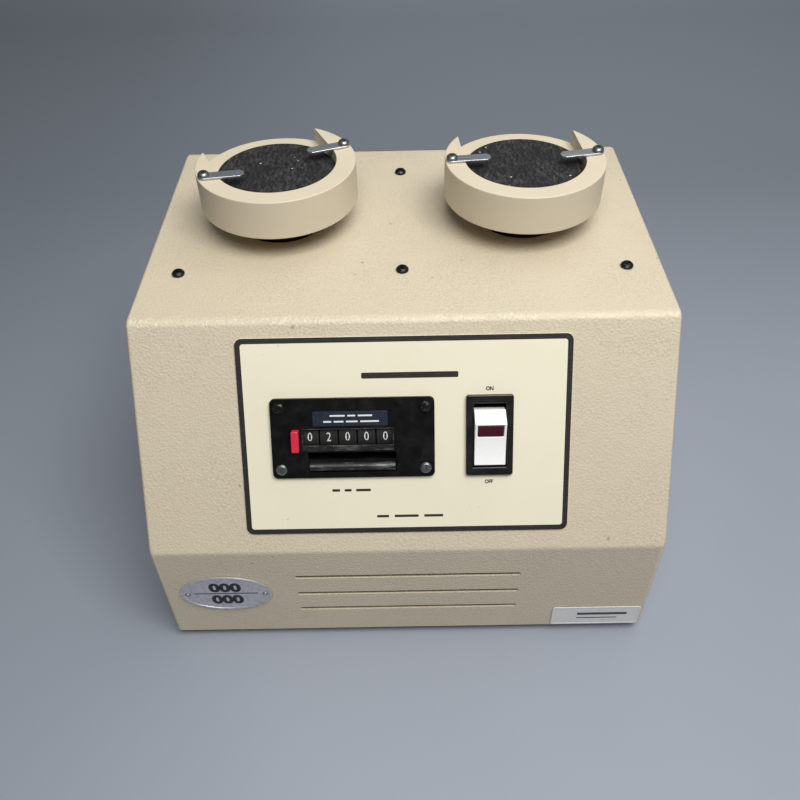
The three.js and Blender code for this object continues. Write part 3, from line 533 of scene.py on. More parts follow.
def cover_paint():
    """Beige paint with a fine pebbled grain, rubbed pale along the top bend, with painted shade in the
    grooves.
    """
    look = Look("cover_paint", (0.60, 0.53, 0.405), 0.5)
    pebbles = look.cells(820.0, feature="SMOOTH_F1")
    patches = look.graded(look.noise(26.0, 4.0, 0.6), 0.42, 0.62, 0.25, 1.0)
    look.tint(look.patches(7.0, 4.0, 0.35, 0.7, 0.5), (0.575, 0.495, 0.375))
    grain = look.graded(look.noise(780.0, 3.0, 0.6), 0.46, 0.7, 0.0, 0.85)
    look.tint(look.product(grain, patches), (0.47, 0.405, 0.30))
    glints = look.graded(look.noise(900.0, 2.0, 0.5), 0.6, 0.74, 0.0, 0.7)
    look.tint(look.product(glints, patches), (0.72, 0.65, 0.51))
    back = look.maths("ABSOLUTE", look.maths("SUBTRACT", look.axis("Y"), (BEND_Y - 0.5) * MM), 0.0)
    drop = look.maths("ABSOLUTE", look.maths("SUBTRACT", look.axis("Z"), DECK_Z * MM), 0.0)
    near_bend = look.graded(look.maths("ADD", back, drop), 0.006, 0.0015)
    rubbed = look.graded(look.noise(420.0, 5.0, 0.75), 0.54, 0.68)
    worn = look.graded(look.noise(14.0, 2.0), 0.4, 0.62, 0.15, 1.0)
    look.tint(look.product(near_bend, look.product(rubbed, worn)), (0.84, 0.79, 0.67))
    look.tint(look.product(scratches(look, 240.0, (0.2, 0.1, 0.5), 0.03), 0.6), (0.82, 0.77, 0.66))
    look.tint(look.product(specks(look, 90.0, 0.12), 0.7), (0.30, 0.25, 0.19))
    # Painted shade: darkens the back of the grooves in the front wall, where their shadow falls.
    look.tint(in_grooves(look), (0.11, 0.09, 0.07))
    look.uneven(60.0, 4.0, 0.38, 0.55)
    look.bump(pebbles, 0.6, 0.4)
    look.grain(1500.0, 2.0, 0.3, 0.12)
    return look.material


def cup_plastic():
    """Smooth turned beige plastic with faint tool rings and handling marks."""
    look = Look("cup_plastic", (0.65, 0.575, 0.445), 0.42)
    look.tint(look.patches(28.0, 4.0, 0.35, 0.7, 0.5), (0.60, 0.525, 0.40))
    look.tint(look.product(scratches(look, 500.0, (0.0, 0.0, 0.9), 0.02), 0.35), (0.72, 0.66, 0.54))
    look.tint(look.product(specks(look, 160.0, 0.1), 0.5), (0.33, 0.28, 0.21))
    look.uneven(120.0, 3.0, 0.36, 0.52)
    look.grain(2600.0, 2.0, 0.12, 0.05)
    look.grain(90.0, 2.0, 0.08, 0.3)
    return look.material


def pad_rubber():
    """Charcoal rubber, scoured in small strokes, with a few pale crumbs of powder."""
    look = Look("pad_rubber", (0.014, 0.014, 0.015), 0.75)
    look.dull(0.2)
    scoured = look.noise(560.0, 6.0, 0.75, look.stretched((1.0, 0.35, 1.0), (0.0, 0.0, 0.7)))
    cloudy = look.graded(look.noise(55.0, 4.0, 0.6), 0.38, 0.66, 0.25, 1.0)
    look.tint(look.product(look.graded(scoured, 0.44, 0.7), cloudy), (0.10, 0.10, 0.102))
    look.tint(specks(look, 210.0, 0.16), (0.55, 0.55, 0.54))
    look.rough(look.graded(scoured, 0.4, 0.7, 0.62, 0.9))
    look.bump(scoured, 0.6, 0.3)
    return look.material


def black_moulding(name, dust, grey=0.0035, shine=0.22):
    """Satin black plastic with a fine moulded grain, dulled in places by dust and rubbing."""
    look = Look(name, (grey, grey, grey * 1.05), 0.42)
    look.dull(shine)
    look.tint(look.graded(look.noise(70.0, 5.0, 0.6), 0.5, 0.8, 0.0, dust), (0.035, 0.035, 0.035))
    look.tint(look.product(scratches(look, 600.0, (0.1, 0.2, 0.3), 0.02), dust), (0.16, 0.16, 0.16))
    look.rough(look.graded(look.noise(150.0, 4.0), 0.3, 0.75, 0.3, 0.52))
    look.grain(2400.0, 2.0, 0.12, 0.05)
    return look.material


def rubbed_black():
    """Black paint rubbed through to grey in streaks along X, for the guard bar and the window's frame."""
    look = Look("rubbed_black", (0.012, 0.012, 0.012), 0.38, 0.2)
    streaks = look.noise(300.0, 6.0, 0.72, look.stretched((0.25, 1.0, 1.0)))
    look.tint(look.graded(streaks, 0.5, 0.68, 0.0, 0.85), (0.16, 0.16, 0.155))
    look.rough(look.graded(streaks, 0.4, 0.7, 0.5, 0.28))
    look.bump(streaks, 0.4, 0.15)
    return look.material


def dark_screw():
    """Blackened steel, bright where a driver has touched it."""
    look = Look("dark_screw", (0.022, 0.022, 0.025), 0.35, 0.75)
    look.tint(look.graded(look.noise(700.0, 4.0, 0.7), 0.56, 0.68, 0.0, 0.6), (0.30, 0.30, 0.31))
    look.uneven(900.0, 3.0, 0.24, 0.48)
    look.grain(1800.0, 2.0, 0.2, 0.04)
    return look.material


def steel(name, color, grain, roughness):
    """Steel with a grain that runs across the piece, stained a little in patches."""
    look = Look(name, color, roughness, 0.9)
    brushed = look.noise(1400.0, 4.0, 0.6, look.stretched(grain))
    look.tint(look.patches(80.0, 4.0, 0.45, 0.75, 0.4), tuple(c * 0.6 for c in color))
    look.rough(look.graded(brushed, 0.3, 0.7, roughness - 0.08, roughness + 0.12))
    look.bump(brushed, 0.18, 0.05)
    return look.material


def overlay_sheet():
    """Printed cream plastic film, a little yellowed and very slightly rippled."""
    look = Look("overlay_sheet", (0.80, 0.755, 0.60), 0.38)
    look.tint(look.patches(22.0, 4.0, 0.4, 0.7, 0.5), (0.765, 0.715, 0.55))
    look.tint(look.product(specks(look, 120.0, 0.08), 0.5), (0.42, 0.38, 0.28))
    look.uneven(200.0, 3.0, 0.32, 0.46)
    look.grain(420.0, 2.0, 0.1, 0.08)
    return look.material


def ink(name, color):
    """Printed ink, thinner in places."""
    look = Look(name, color, 0.45)
    worn = look.noise(500.0, 4.0, 0.6)
    look.tint(look.graded(worn, 0.6, 0.8, 0.0, 0.35), tuple(min(1.0, c * 1.6 + 0.05) for c in color))
    look.rough(look.graded(worn, 0.3, 0.7, 0.38, 0.55))
    look.bump(worn, 0.1, 0.02)
    return look.material


def glossy_plastic(name, color, worn_color):
    """Glossy moulded plastic with faint rub marks."""
    look = Look(name, color, 0.28)
    look.tint(look.patches(60.0, 4.0, 0.5, 0.8, 0.4), worn_color)
    look.uneven(240.0, 4.0, 0.2, 0.38)
    look.grain(900.0, 2.0, 0.06, 0.05)
    return look.material


def red_lens():
    """A dark red window, unlit, with fine upright ribs moulded behind its face."""
    look = Look("red_lens", (0.045, 0.001, 0.006), 0.25)
    look.dull(0.25)
    waves = look.add("ShaderNodeTexWave", {"Vector": look.space, "Scale": 260.0, "Distortion": 0.4},
                     bands_direction="X").outputs["Fac"]
    look.tint(look.graded(waves, 0.35, 0.8, 0.0, 0.55), (0.12, 0.003, 0.020))
    look.bump(waves, 0.25, 0.12)
    look.coat(0.12, 0.1)
    return look.material


def stamped_aluminium():
    """Dull stamped aluminium, mottled grey."""
    look = Look("stamped_aluminium", (0.62, 0.62, 0.66), 0.4, 0.7)
    mottle = look.noise(330.0, 6.0, 0.7)
    look.tint(look.graded(mottle, 0.45, 0.66, 0.0, 0.7), (0.40, 0.40, 0.44))
    look.rough(look.graded(mottle, 0.35, 0.7, 0.3, 0.55))
    look.bump(mottle, 0.3, 0.08)
    return look.material


def rubber():
    """Dull black rubber, a little dusty."""
    look = Look("rubber", (0.016, 0.016, 0.016), 0.8)
    look.tint(look.patches(140.0, 5.0, 0.5, 0.75, 0.6), (0.06, 0.057, 0.052))
    look.uneven(400.0, 3.0, 0.7, 0.92)
    look.grain(1600.0, 3.0, 0.3, 0.1)
    return look.material


def machine_paint():
    """Dark blue-grey paint with pale patches."""
    look = Look("machine_paint", (0.075, 0.085, 0.095), 0.5)
    look.tint(look.patches(50.0, 5.0, 0.5, 0.75, 0.5), (0.12, 0.125, 0.13))
    look.uneven(200.0, 3.0, 0.4, 0.62)
    look.grain(700.0, 3.0, 0.25, 0.12)
    return look.material


def studio_grey():
    """A plain blue-grey backdrop sheet, darker in a band behind the object, with painted shade to the left.
    """
    look = Look("studio_grey", (0.285, 0.313, 0.375), 0.6)
    look.tint(look.patches(5.0, 4.0, 0.35, 0.7, 0.4), (0.255, 0.285, 0.345))
    look.tint(look.graded(look.axis("Y"), 0.1, 0.45, 0.0, 0.8), (0.20, 0.228, 0.268))
    look.tint(look.graded(look.axis("Y"), 0.5, 1.1, 0.0, 0.8), (0.33, 0.37, 0.42))
    # Painted shade: the sheet darkens towards the left, standing in for light that falls off there.
    look.tint(look.graded(look.axis("X"), -0.08, -0.4, 0.0, 0.6), (0.19, 0.215, 0.25))
    look.grain(60.0, 2.0, 0.03, 0.5)
    return look.material


PAINT = cover_paint()
CUP_PLASTIC = cup_plastic()
PAD_RUBBER = pad_rubber()
BLACK = black_moulding("black_moulding", 0.35)
COLLAR_BLACK = black_moulding("collar_black", 0.15)
SWITCH_BLACK = black_moulding("switch_black", 0.25, shine=0.6)
WHEEL_CHARCOAL = black_moulding("wheel_charcoal", 0.8, grey=0.024)
RUBBED_BLACK = rubbed_black()
DARK_SCREW = dark_screw()
WORN_SCREW = steel("worn_screw", (0.22, 0.225, 0.23), (1.0, 1.0, 1.0), 0.36)
BRIGHT_SCREW = steel("bright_screw", (0.46, 0.47, 0.48), (1.0, 1.0, 1.0), 0.34)
CLIP_STEEL = steel("clip_steel", (0.56, 0.58, 0.62), (0.05, 1.0, 1.0), 0.36)
GROUND_STEEL = steel("ground_steel", (0.52, 0.52, 0.53), (1.0, 1.0, 0.06), 0.3)
PLATED_STEEL = steel("plated_steel", (0.48, 0.48, 0.46), (0.08, 1.0, 1.0), 0.42)
CREAM = overlay_sheet()
BLACK_INK = ink("black_ink", (0.022, 0.020, 0.018))
STAMP_INK = ink("stamp_ink", (0.006, 0.006, 0.009))
WHITE_INK = ink("white_ink", (0.78, 0.78, 0.76))
NAVY_INK = ink("navy_ink", (0.010, 0.017, 0.032))
GREY_INK = ink("grey_ink", (0.045, 0.05, 0.065))
WHITE = glossy_plastic("white_plastic", (0.97, 0.98, 0.975), (0.94, 0.95, 0.945))
RED = glossy_plastic("red_plastic", (0.60, 0.030, 0.060), (0.66, 0.09, 0.12))
RED_LENS = red_lens()
ALUMINIUM = stamped_aluminium()
LABEL_WHITE = glossy_plastic("label_white", (0.70, 0.695, 0.68), (0.62, 0.61, 0.59))
RUBBER = rubber()
MACHINE_PAINT = machine_paint()

# ---- Camera, lights and stage ----


def add_camera():
    """The camera stands above the operator and looks down at the slope and the deck."""
    data = bpy.data.cameras.new("camera")
    data.sensor_width = 36.0
    data.lens = 36.99
    camera = bpy.data.objects.new("camera", data)
    pitch, heading, roll = math.radians(43.87), math.radians(0.336), math.radians(1.25)
    turn = Matrix.Rotation(heading, 4, "Z") @ Matrix.Rotation(math.pi / 2 - pitch, 4, "X")
    spot = Matrix.Translation((-0.0007, -0.4193, 0.4914))
    camera.matrix_world = spot @ turn @ Matrix.Rotation(-roll, 4, "Z")
    bpy.context.scene.collection.objects.link(camera)
    bpy.context.scene.camera = camera


def add_softbox(name, spot, target, size, power, color):
    data = bpy.data.lights.new(name, "AREA")
    data.shape = "RECTANGLE"
    data.size, data.size_y = size
    data.energy = power
    data.color = color
    light = bpy.data.objects.new(name, data)
    light.location = spot
    light.rotation_euler = (Vector(target) - Vector(spot)).to_track_quat("-Z", "Y").to_euler()
    bpy.context.scene.collection.objects.link(light)


def add_lights():
    add_softbox("overhead", (0.45, 0.3, 1.45), (0, 0, 0.15), (1.3, 1.1), 5.6, (1.0, 0.99, 0.96))
    add_softbox("front_key", (0.25, -0.61, 1.34), (0, -0.05, 0.17), (1.1, 0.7), 22.5, (1.0, 0.985, 0.945))
    world = bpy.data.worlds.new("studio")
    world.use_nodes = True
    background = world.node_tree.nodes["Background"]
    background.inputs["Color"].default_value = (0.86, 0.92, 1.0, 1)
    background.inputs["Strength"].default_value = 0.08
    bpy.context.scene.world = world
    bpy.context.scene.view_settings.view_transform = "Standard"


def add_stage():
    """A plain floor that sweeps up into a backdrop."""
    half_width, front, sweep_y, height, radius = 2500.0, -2200.0, 1500.0, 1600.0, 500.0
    profile = [Vector((front, 0)), Vector((sweep_y - radius, 0))]
    for step in range(1, 17):
        angle = math.pi / 2 * step / 16
        profile.append(Vector((sweep_y - radius + radius * math.sin(angle), radius * (1 - math.cos(angle)))))
    profile.append(Vector((sweep_y, height)))
    bm = bmesh.new()
    left = [bm.verts.new((-half_width, y, z)) for y, z in profile]
    right = [bm.verts.new((half_width, y, z)) for y, z in profile]
    for i in range(len(profile) - 1):
        bm.faces.new((left[i], right[i], right[i + 1], left[i + 1])).smooth = True
    bm.transform(TO_METRES)
    mesh = bpy.data.meshes.new("floor")
    bm.to_mesh(mesh)
    bm.free()
    mesh.materials.append(studio_grey())
    floor = bpy.data.objects.new("floor", mesh)
    bpy.context.scene.collection.objects.link(floor)


# ---- Housing ----


def side_outline(inset, bottom, radius, steps):
    """The housing's side view, in Y and Z, moved inward by inset and reaching down to bottom."""
    cosine, sine = math.cos(PANEL_TILT), math.sin(PANEL_TILT)
    bend_y = BEND_Y + inset * (1 - cosine) / sine
    lower_z = DECK_Z - ((PANEL_RUN - inset) * sine + inset) / cosine
    corners = (
        (FRONT_Y + inset, bottom, 0),
        (BACK_Y - inset, bottom, 0),
        (BACK_Y - inset, DECK_Z - inset, radius),
        (bend_y, DECK_Z - inset, radius),
        (FRONT_Y + inset, lower_z, radius),
    )
    return rounded_outline(corners, steps)


def round_rim(bm):
    """Rounds the long edges where the side and back walls turn over into the deck and the slope."""
    rim = []
    for edge in bm.edges:
        above = all(v.co.z > COVER_LOW.z + 1 for v in edge.verts)
        if above and edge.calc_face_angle(0) > math.radians(40):
            rim.append(edge)
    bmesh.ops.bevel(bm, geom=rim, offset=RIM_RADIUS, segments=4, profile=0.5, affect="EDGES")
    return bm


def deck_screw_places():
    """The middle of each deck screw, by its node."""
    places = {}
    for row in ("front", "back"):
        for column in ("left", "middle", "right"):
            node = f"deck_screw_{row}_{column}"
            places[node] = middle_of(node)
    return places


def screw_hole(kind):
    """The radius of the hole that a kind of screw goes into."""
    return SCREW[kind][2] + SCREW_CLEARANCE


def counter_screw_places():
    signs = ((-1, 1), (1, 1), (-1, -1), (1, -1))
    return [(sx * COUNTER_SCREW["x"], sy * COUNTER_SCREW["y"]) for sx, sy in signs]


def panel_openings(reach):
    """Tools for the counter's case and the switch's body, through the panel, in the housing's frame."""
    case = prism(outline_of(CASE, 0, -CUT_MARGIN), -reach, reach)
    body = prism(outline_of(SWITCH_BODY, 0, -CUT_MARGIN), -reach, reach)
    return [moved(case, COUNTER_FRAME), moved(body, SWITCH_FRAME)]


def cover_tools():
    """Everything that is cut out of the cover, in the housing's frame."""
    past = 40.0
    tools = []
    for height in GROOVE["heights"]:
        outline = rounded_rectangle(GROOVE["length"], GROOVE["width"], GROOVE["width"] / 2 - 0.01, 0, height)
        tools.append(moved(prism(outline, -FRONT_Y - GROOVE["depth"], -FRONT_Y + past), FACING_FRONT))
    tools += panel_openings(past)
    for x, y in counter_screw_places():
        tools.append(moved(rod(screw_hole("counter"), -past, past, 16, x, y), COUNTER_FRAME))
    for spot in deck_screw_places().values():
        tools.append(rod(screw_hole("deck"), DECK_Z - WALL - 1, DECK_Z + past, 24, spot.x, spot.y))
    for side in ("left", "right"):
        centre = pivot(f"{side}_cup_turn")
        tools.append(rod(COLLAR_HOLE_RADIUS, DECK_Z - WALL - 1, DECK_Z + past, 64, centre.x, centre.y))
    pit = DECK_PIT
    tools.append(rod(pit["radius"], DECK_Z - pit["depth"], DECK_Z + past, 20, pit["x"], pit["y"]))
    inlet = box(
        SOCKET["width"] + 2 * SOCKET["wall"] + 2 * CUT_MARGIN,
        SOCKET["height"] + 2 * SOCKET["wall"] + 2 * CUT_MARGIN,
        BACK_Y - past, BACK_Y + past, -INLET["x"], INLET["z"],
    )
    tools.append(moved(inlet, FACING_BACK))
    centre = middle_of("side_screw_left")
    side_hole = rod(screw_hole("side"), -COVER_HIGH.x - past, COVER_HIGH.x + past, 16, centre.y, centre.z)
    tools.append(moved(side_hole, ALONG_X))
    return tools


def build_cover():
    half_width = COVER_HIGH.x
    side_view = side_outline(0, COVER_LOW.z, BEND_RADIUS, 12)
    outside = moved(prism(side_view, -half_width, half_width), ALONG_X)
    plan = rounded_outline((
        (-half_width, FRONT_Y, FRONT_CORNER_RADIUS),
        (half_width, FRONT_Y, FRONT_CORNER_RADIUS),
        (half_width, BACK_Y, BACK_CORNER_RADIUS),
        (-half_width, BACK_Y, BACK_CORNER_RADIUS),
    ), 8)
    shell = boolean(outside, [prism(plan, 0, DECK_Z + WALL)], "INTERSECT")
    inner = side_outline(WALL, -WALL, BEND_RADIUS - WALL, 4)
    hollow = moved(prism(inner, WALL - half_width, half_width - WALL), ALONG_X)
    cover = boolean(round_rim(shell), [hollow, *cover_tools()])
    place("cover", cover, Matrix(), "housing", PAINT, ["housing_cover"], edge=0.35)


def build_feet():
    for node in ("foot_front_left", "foot_front_right", "foot_back_left", "foot_back_right"):
        low, high = box_mm(node)
        centre = (low + high) / 2
        radius = (high.x - low.x) / 2
        top = high.z - low.z
        foot = turned([(0, 0, 0), (radius - 1.5, 0, 1.0), (radius, top, 0.4), (0, top, 0)], 64)
        spot = Matrix.Translation((centre.x, centre.y, low.z))
        place(f"rubber_{node}", foot, spot, "housing", RUBBER, [node], edge=0)


def screw_mesh(kind):
    """A pan-head screw: its head rests at z = 0, with a cross recess in its top."""
    head, height, shank, length = SCREW[kind]
    blank = turned([
        (0, -length, 0),
        (shank, -length, 0.3),
        (shank, 0, 0),
        (head, 0, 0.15),
        (head, height * 0.45, height * 0.2),
        (head * 0.72, height * 0.95, height * 0.35),
        (0, height, 0),
    ], 48)
    arm, blade = head * 0.62, head * 0.2
    floor = height * 0.35
    cross = [box(2 * arm, blade, floor, height + 1), box(blade, 2 * arm, floor, height + 1)]
    return boolean(blank, cross)


def build_housing_screws():
    for node, spot in deck_screw_places().items():
        low, _ = box_mm(node)
        spin = Matrix.Rotation(math.radians(40 + 0.4 * spot.x + spot.y), 4, "Z")
        at = Matrix.Translation((spot.x, spot.y, low.z + SCREW["deck"][3])) @ spin
        place(f"cross_{node}", screw_mesh("deck"), at, "housing", DARK_SCREW,
              [node], edge=0.12)
    for side, sign in (("left", -1), ("right", 1)):
        node = f"side_screw_{side}"
        centre = middle_of(node)
        face = Matrix.Translation((sign * (COVER_HIGH.x + SIDE_SCREW_GAP), centre.y, centre.z))
        at = face @ Matrix.Rotation(sign * math.pi / 2, 4, "Y")
        place(f"cross_{node}", screw_mesh("side"), at, "housing", BRIGHT_SCREW,
              [node], edge=0.12)


def build_tag():
    """An oval tag with a raised rim, two rivets and generic digits over and under a rule."""
    at = Matrix.Translation((TAG["x"], FRONT_Y, TAG["z"])) @ FACING_FRONT
    field = TAG["front"] - TAG_RIM["height"]
    plate = prism(ellipse(TAG["width"], TAG["height"]), TAG["back"], TAG["front"])
    inner = ellipse(TAG["width"] - 2 * TAG_RIM["width"], TAG["height"] - 2 * TAG_RIM["width"])
    tools = [prism(inner, field, TAG["front"] + 1)]
    radius = TAG_RIVET["radius"]
    rivets = []
    for x in (-TAG_RIVET["x"], TAG_RIVET["x"]):
        tools.append(rod(radius + TAG_RIVET["gap"], TAG["back"] - 1, TAG["front"] + 1, 24, x, TAG_RIVET["z"]))
        head = turned([
            (0, TAG["back"], 0),
            (radius, TAG["back"], 0),
            (radius, TAG["front"], 0.5),
            (0, TAG["front"], 0),
        ], 32)
        rivets.append(moved(head, Matrix.Translation((x, TAG_RIVET["z"], 0))))
    tag = boolean(plate, tools)
    place("tag_plate", tag, at, "housing", ALUMINIUM, ["oval_tag"], edge=0.2)
    place("tag_rivets", merged(*rivets), at, "housing", BRIGHT_SCREW, edge=0)
    printed = [box(TAG_RULE["length"], TAG_RULE["height"], field, field + PRINT, 0, TAG_RULE["z"])]
    for height in (-TAG_ROW, TAG_ROW):
        digits = lettering("000", thickness=PRINT, **TAG_DIGITS)
        printed.append(moved(digits, Matrix.Translation((0, height, field))))
    place("tag_print", merged(*printed), at, "housing", STAMP_INK, edge=0)


def build_label():
    """A blank label with a rounded, slightly raised edge and two plain bars in place of words."""
    at = Matrix.Translation((LABEL["x"], FRONT_Y, LABEL["z"])) @ FACING_FRONT
    plate = prism(rounded_rectangle(LABEL["width"], LABEL["height"], 1.5), LABEL["back"], LABEL["front"])
    rim = 2 * LABEL_RIM["width"]
    sunk = rounded_rectangle(LABEL["width"] - rim, LABEL["height"] - rim, 1.0)
    field = LABEL["front"] - LABEL_RIM["height"]
    place("label_plate", boolean(plate, [prism(sunk, field, LABEL["front"] + 1)]), at, "housing",
          LABEL_WHITE, ["corner_label"], edge=0.12)
    printed = [box(length, height, field, field + PRINT, x, y) for length, height, x, y in LABEL_BARS]
    place("label_print", merged(*printed), at, "housing", GREY_INK, edge=0)


def build_inlet():
    at = Matrix.Translation((INLET["x"], BACK_Y, INLET["z"])) @ FACING_BACK
    gap, low = 0.3, -INLET["inside"]
    flange = prism(rounded_rectangle(INLET["width"], INLET["height"], 4), gap, gap + INLET["flange"])
    width, height = SOCKET["width"], SOCKET["height"]
    shell = box(width + 2 * SOCKET["wall"], height + 2 * SOCKET["wall"], low, gap + 0.5)
    whole = boolean(flange, [shell], "UNION")
    recess = prism(rounded_rectangle(width, height, 1.0), -SOCKET["depth"], 10)
    place("inlet_shell", boolean(whole, [recess]), at, "housing", BLACK,
          ["power_inlet"], edge=0.3)
    pins = []
    for x, y in ((-PIN["pitch"], -PIN["rise"] / 2), (0, PIN["rise"]), (PIN["pitch"], -PIN["rise"] / 2)):
        foot = -SOCKET["depth"] - 1
        outline = rounded_rectangle(PIN["width"], PIN["height"], 0.6, x, y)
        pins.append(prism(outline, foot, foot + PIN["length"]))
    place("inlet_pins", merged(*pins), at, "housing", BRIGHT_SCREW, edge=0.3)


# ---- Sloped panel ----


def bars(row, low):
    """A row of plain bars, word-like in their lengths, printed at z = low."""
    lengths, height, gap = row["lengths"], row["height"], row["gap"]
    start = row["x"] - (sum(lengths) + gap * (len(lengths) - 1)) / 2
    made = []
    for length in lengths:
        outline = rounded_rectangle(length, height, height * 0.25, start + length / 2, row["y"])
        made.append(prism(outline, low, low + PRINT))
        start += length + gap
    return made


def build_overlay():
    """The printed film, with its openings for the counter and the switch, and its dark border."""
    y = -OVERLAY["down"]
    width, height, radius = OVERLAY["width"], OVERLAY["height"], OVERLAY["radius"]
    low, high = OVERLAY["back"], OVERLAY["front"]
    sheet = prism(rounded_rectangle(width, height, radius, 0, y), low, high)
    holes = [moved(opening, PANEL.inverted()) for opening in panel_openings(10.0)]
    place("overlay_sheet", boolean(sheet, holes), PANEL, "housing", CREAM,
          ["control_overlay"], edge=0.12)
    inset = 0.15
    outer = rounded_rectangle(width - 2 * inset, height - 2 * inset, radius, 0, y)
    inner = rounded_rectangle(width - 2 * BORDER_WIDTH, height - 2 * BORDER_WIDTH, 1.6, 0, y)
    ring = boolean(prism(outer, high, high + PRINT), [prism(inner, high - 1, high + 1)])
    place("overlay_border", ring, PANEL, "housing", BLACK_INK, edge=0)


def build_overlay_print():
    """Plain bars where the panel carries words, and the two generic words at the switch."""
    low = OVERLAY["front"]
    switch = PANEL.inverted() @ SWITCH_FRAME.translation
    printed = bars(TITLE_BARS, low) + bars(FOOTER_BARS, low) + bars(CAPTION_BARS, low)
    for text, down in SWITCH_WORDS.items():
        word = lettering(text, thickness=PRINT, **SWITCH_WORD)
        printed.append(moved(word, Matrix.Translation((switch.x, -down, low))))
    place("overlay_print", merged(*printed), PANEL, "housing", BLACK_INK, edge=0)


def build_counter_plate():
    plate = prism(outline_of(COUNTER, COUNTER["radius"]), COUNTER["back"], COUNTER["front"])
    tools = []
    for opening, margin in ((WINDOW, 0), (LOWER_SLOT, 0), (RED_BUTTON, 0.3)):
        tools.append(prism(outline_of(opening, 0, -margin), 0, 10))
    for x, y in counter_screw_places():
        tools.append(rod(screw_hole("counter"), 0, 10, 16, x, y))
    place("counter_face", boolean(plate, tools), COUNTER_FRAME, "housing", BLACK,
          ["counter_plate"], edge=0.45, segments=3)
    lip, ledge, proud = 0.7, 3.3, 0.3
    width, height = WINDOW["width"] + 2 * lip, WINDOW["height"] + lip + ledge
    outer = rounded_rectangle(width, height, 0.6, WINDOW["x"], WINDOW["y"] + (lip - ledge) / 2)
    hole = prism(outline_of(WINDOW, 0), 0, 10)
    frame_mesh = boolean(prism(outer, COUNTER["front"], COUNTER["front"] + proud), [hole])
    place("window_frame", frame_mesh, COUNTER_FRAME, "housing", RUBBED_BLACK, edge=0.1)
    for i, (x, y) in enumerate(counter_screw_places(), start=1):
        spin = Matrix.Rotation(math.radians(25 + 37 * i), 4, "Z")
        at = COUNTER_FRAME @ Matrix.Translation((x, y, COUNTER["front"] + SCREW_CLEARANCE)) @ spin
        look = DARK_SCREW if y > 0 else WORN_SCREW
        place(f"cross_counter_screw_{i}", screw_mesh("counter"), at, "housing", look,
              [f"counter_screw_{i}"], edge=0.1)


def build_strip():
    """The small dark label over the window, with plain bars in place of its two lines of words."""
    low = COUNTER["front"]
    top = low + STRIP["thickness"]
    place("strip_label", prism(outline_of(STRIP, 0.5), low, top), COUNTER_FRAME, "housing",
          NAVY_INK, edge=0.05)
    printed = bars(STRIP_UPPER, top) + bars(STRIP_LOWER, top)
    place("strip_print", merged(*printed), COUNTER_FRAME, "housing", WHITE_INK, edge=0)


def build_guard_bar():
    """A bar along X with a half-round front, in the lower slot."""
    radius, back = GUARD_BAR["radius"], COUNTER["back"]
    rise = back + GUARD_BAR["straight"]
    outline = [Vector((-radius, back)), Vector((radius, back))]
    for step in range(17):
        angle = math.pi * step / 16
        outline.append(Vector((radius * math.cos(angle), rise + radius * math.sin(angle))))
    half = LOWER_SLOT["width"] / 2 - 0.5
    foot = LOWER_SLOT["y"] - LOWER_SLOT["height"] / 2
    spot = Matrix.Translation((LOWER_SLOT["x"], foot + GUARD_BAR["above_foot"] + radius, 0))
    at = COUNTER_FRAME @ spot @ ALONG_X
    place("guard_bar", prism(outline, -half, half), at, "housing", RUBBED_BLACK,
          ["counter_guard_bar"], edge=0.3)


def wrapped_digit(digit, radius):
    """A digit bent round a wheel that turns about X, facing +Z."""
    bm = lettering(str(digit), DIGIT_HEIGHT, 0.12, 0.74)
    for share in range(-3, 4):
        cut = (0, share * DIGIT_HEIGHT / 8, 0)
        everything = list(bm.verts) + list(bm.edges) + list(bm.faces)
        bmesh.ops.bisect_plane(bm, geom=everything, plane_co=cut, plane_no=(0, 1, 0))
    for vert in bm.verts:
        angle = vert.co.y / radius
        reach = radius + vert.co.z - 0.06
        vert.co = (vert.co.x, reach * math.sin(angle), reach * math.cos(angle))
    return bm


def build_wheels():
    half, radius = WHEEL["width"] / 2, WHEEL["radius"]
    band, floor = WHEEL_BAND["width"] / 2, radius - WHEEL_BAND["depth"]
    for i, shown in enumerate(READING, start=1):
        wheel = turned([
            (WHEEL["bore"], -half, 0),
            (radius, -half, 0.4),
            (radius, -band, 0.1),
            (floor, -band, 0),
            (floor, band, 0),
            (radius, band, 0.1),
            (radius, half, 0.4),
            (WHEEL["bore"], half, 0),
        ], 80)
        at = on_panel(pivot(f"wheel_{i}_turn"))
        body = f"wheel_{i}"
        place(f"counter_wheel_{i}", moved(wheel, ALONG_X), at, body, WHEEL_CHARCOAL,
              [f"number_wheel_{i}"], edge=0)
        digits = []
        for digit in range(10):
            turn = Matrix.Rotation(math.radians(36 * (digit - shown)), 4, "X")
            digits.append(moved(wrapped_digit(digit, floor), turn))
        place(f"wheel_digits_{i}", merged(*digits), at, body, WHITE_INK, edge=0)


def build_red_button():
    key = prism(outline_of(RED_BUTTON, 0.8), RED_BUTTON["low"], RED_BUTTON["high"])
    place("red_button", key, COUNTER_FRAME, "preset_key", RED, ["preset_button"],
          edge=0.5, segments=4)


def rocker_face(share):
    """A point on the rocker's face, in Y and Z: share 0 at its ridge, 1 at its toe."""
    ridge, toe = Vector(ROCKER["ridge"]), Vector(ROCKER["toe"])
    sag = (ridge + toe) / 2 - Vector((0, 2 * ROCKER_SAG))
    return (1 - share) ** 2 * ridge + 2 * share * (1 - share) * sag + share ** 2 * toe


def rocker_mesh():
    toe = ROCKER["toe"]
    face = [rocker_face(i / 14) for i in range(15)]
    outline = [
        Vector((toe[0], ROCKER["side"])),
        Vector((-ROCKER_KEEL["half_length"], ROCKER_KEEL["low"])),
        Vector((ROCKER_KEEL["half_length"], ROCKER_KEEL["low"])),
        Vector((ROCKER["top"], ROCKER["side"])),
        Vector((ROCKER["top"], SWITCH["front"] - 1)),
        *face,
    ]
    return moved(prism(outline, -ROCKER["width"] / 2, ROCKER["width"] / 2), ALONG_X)


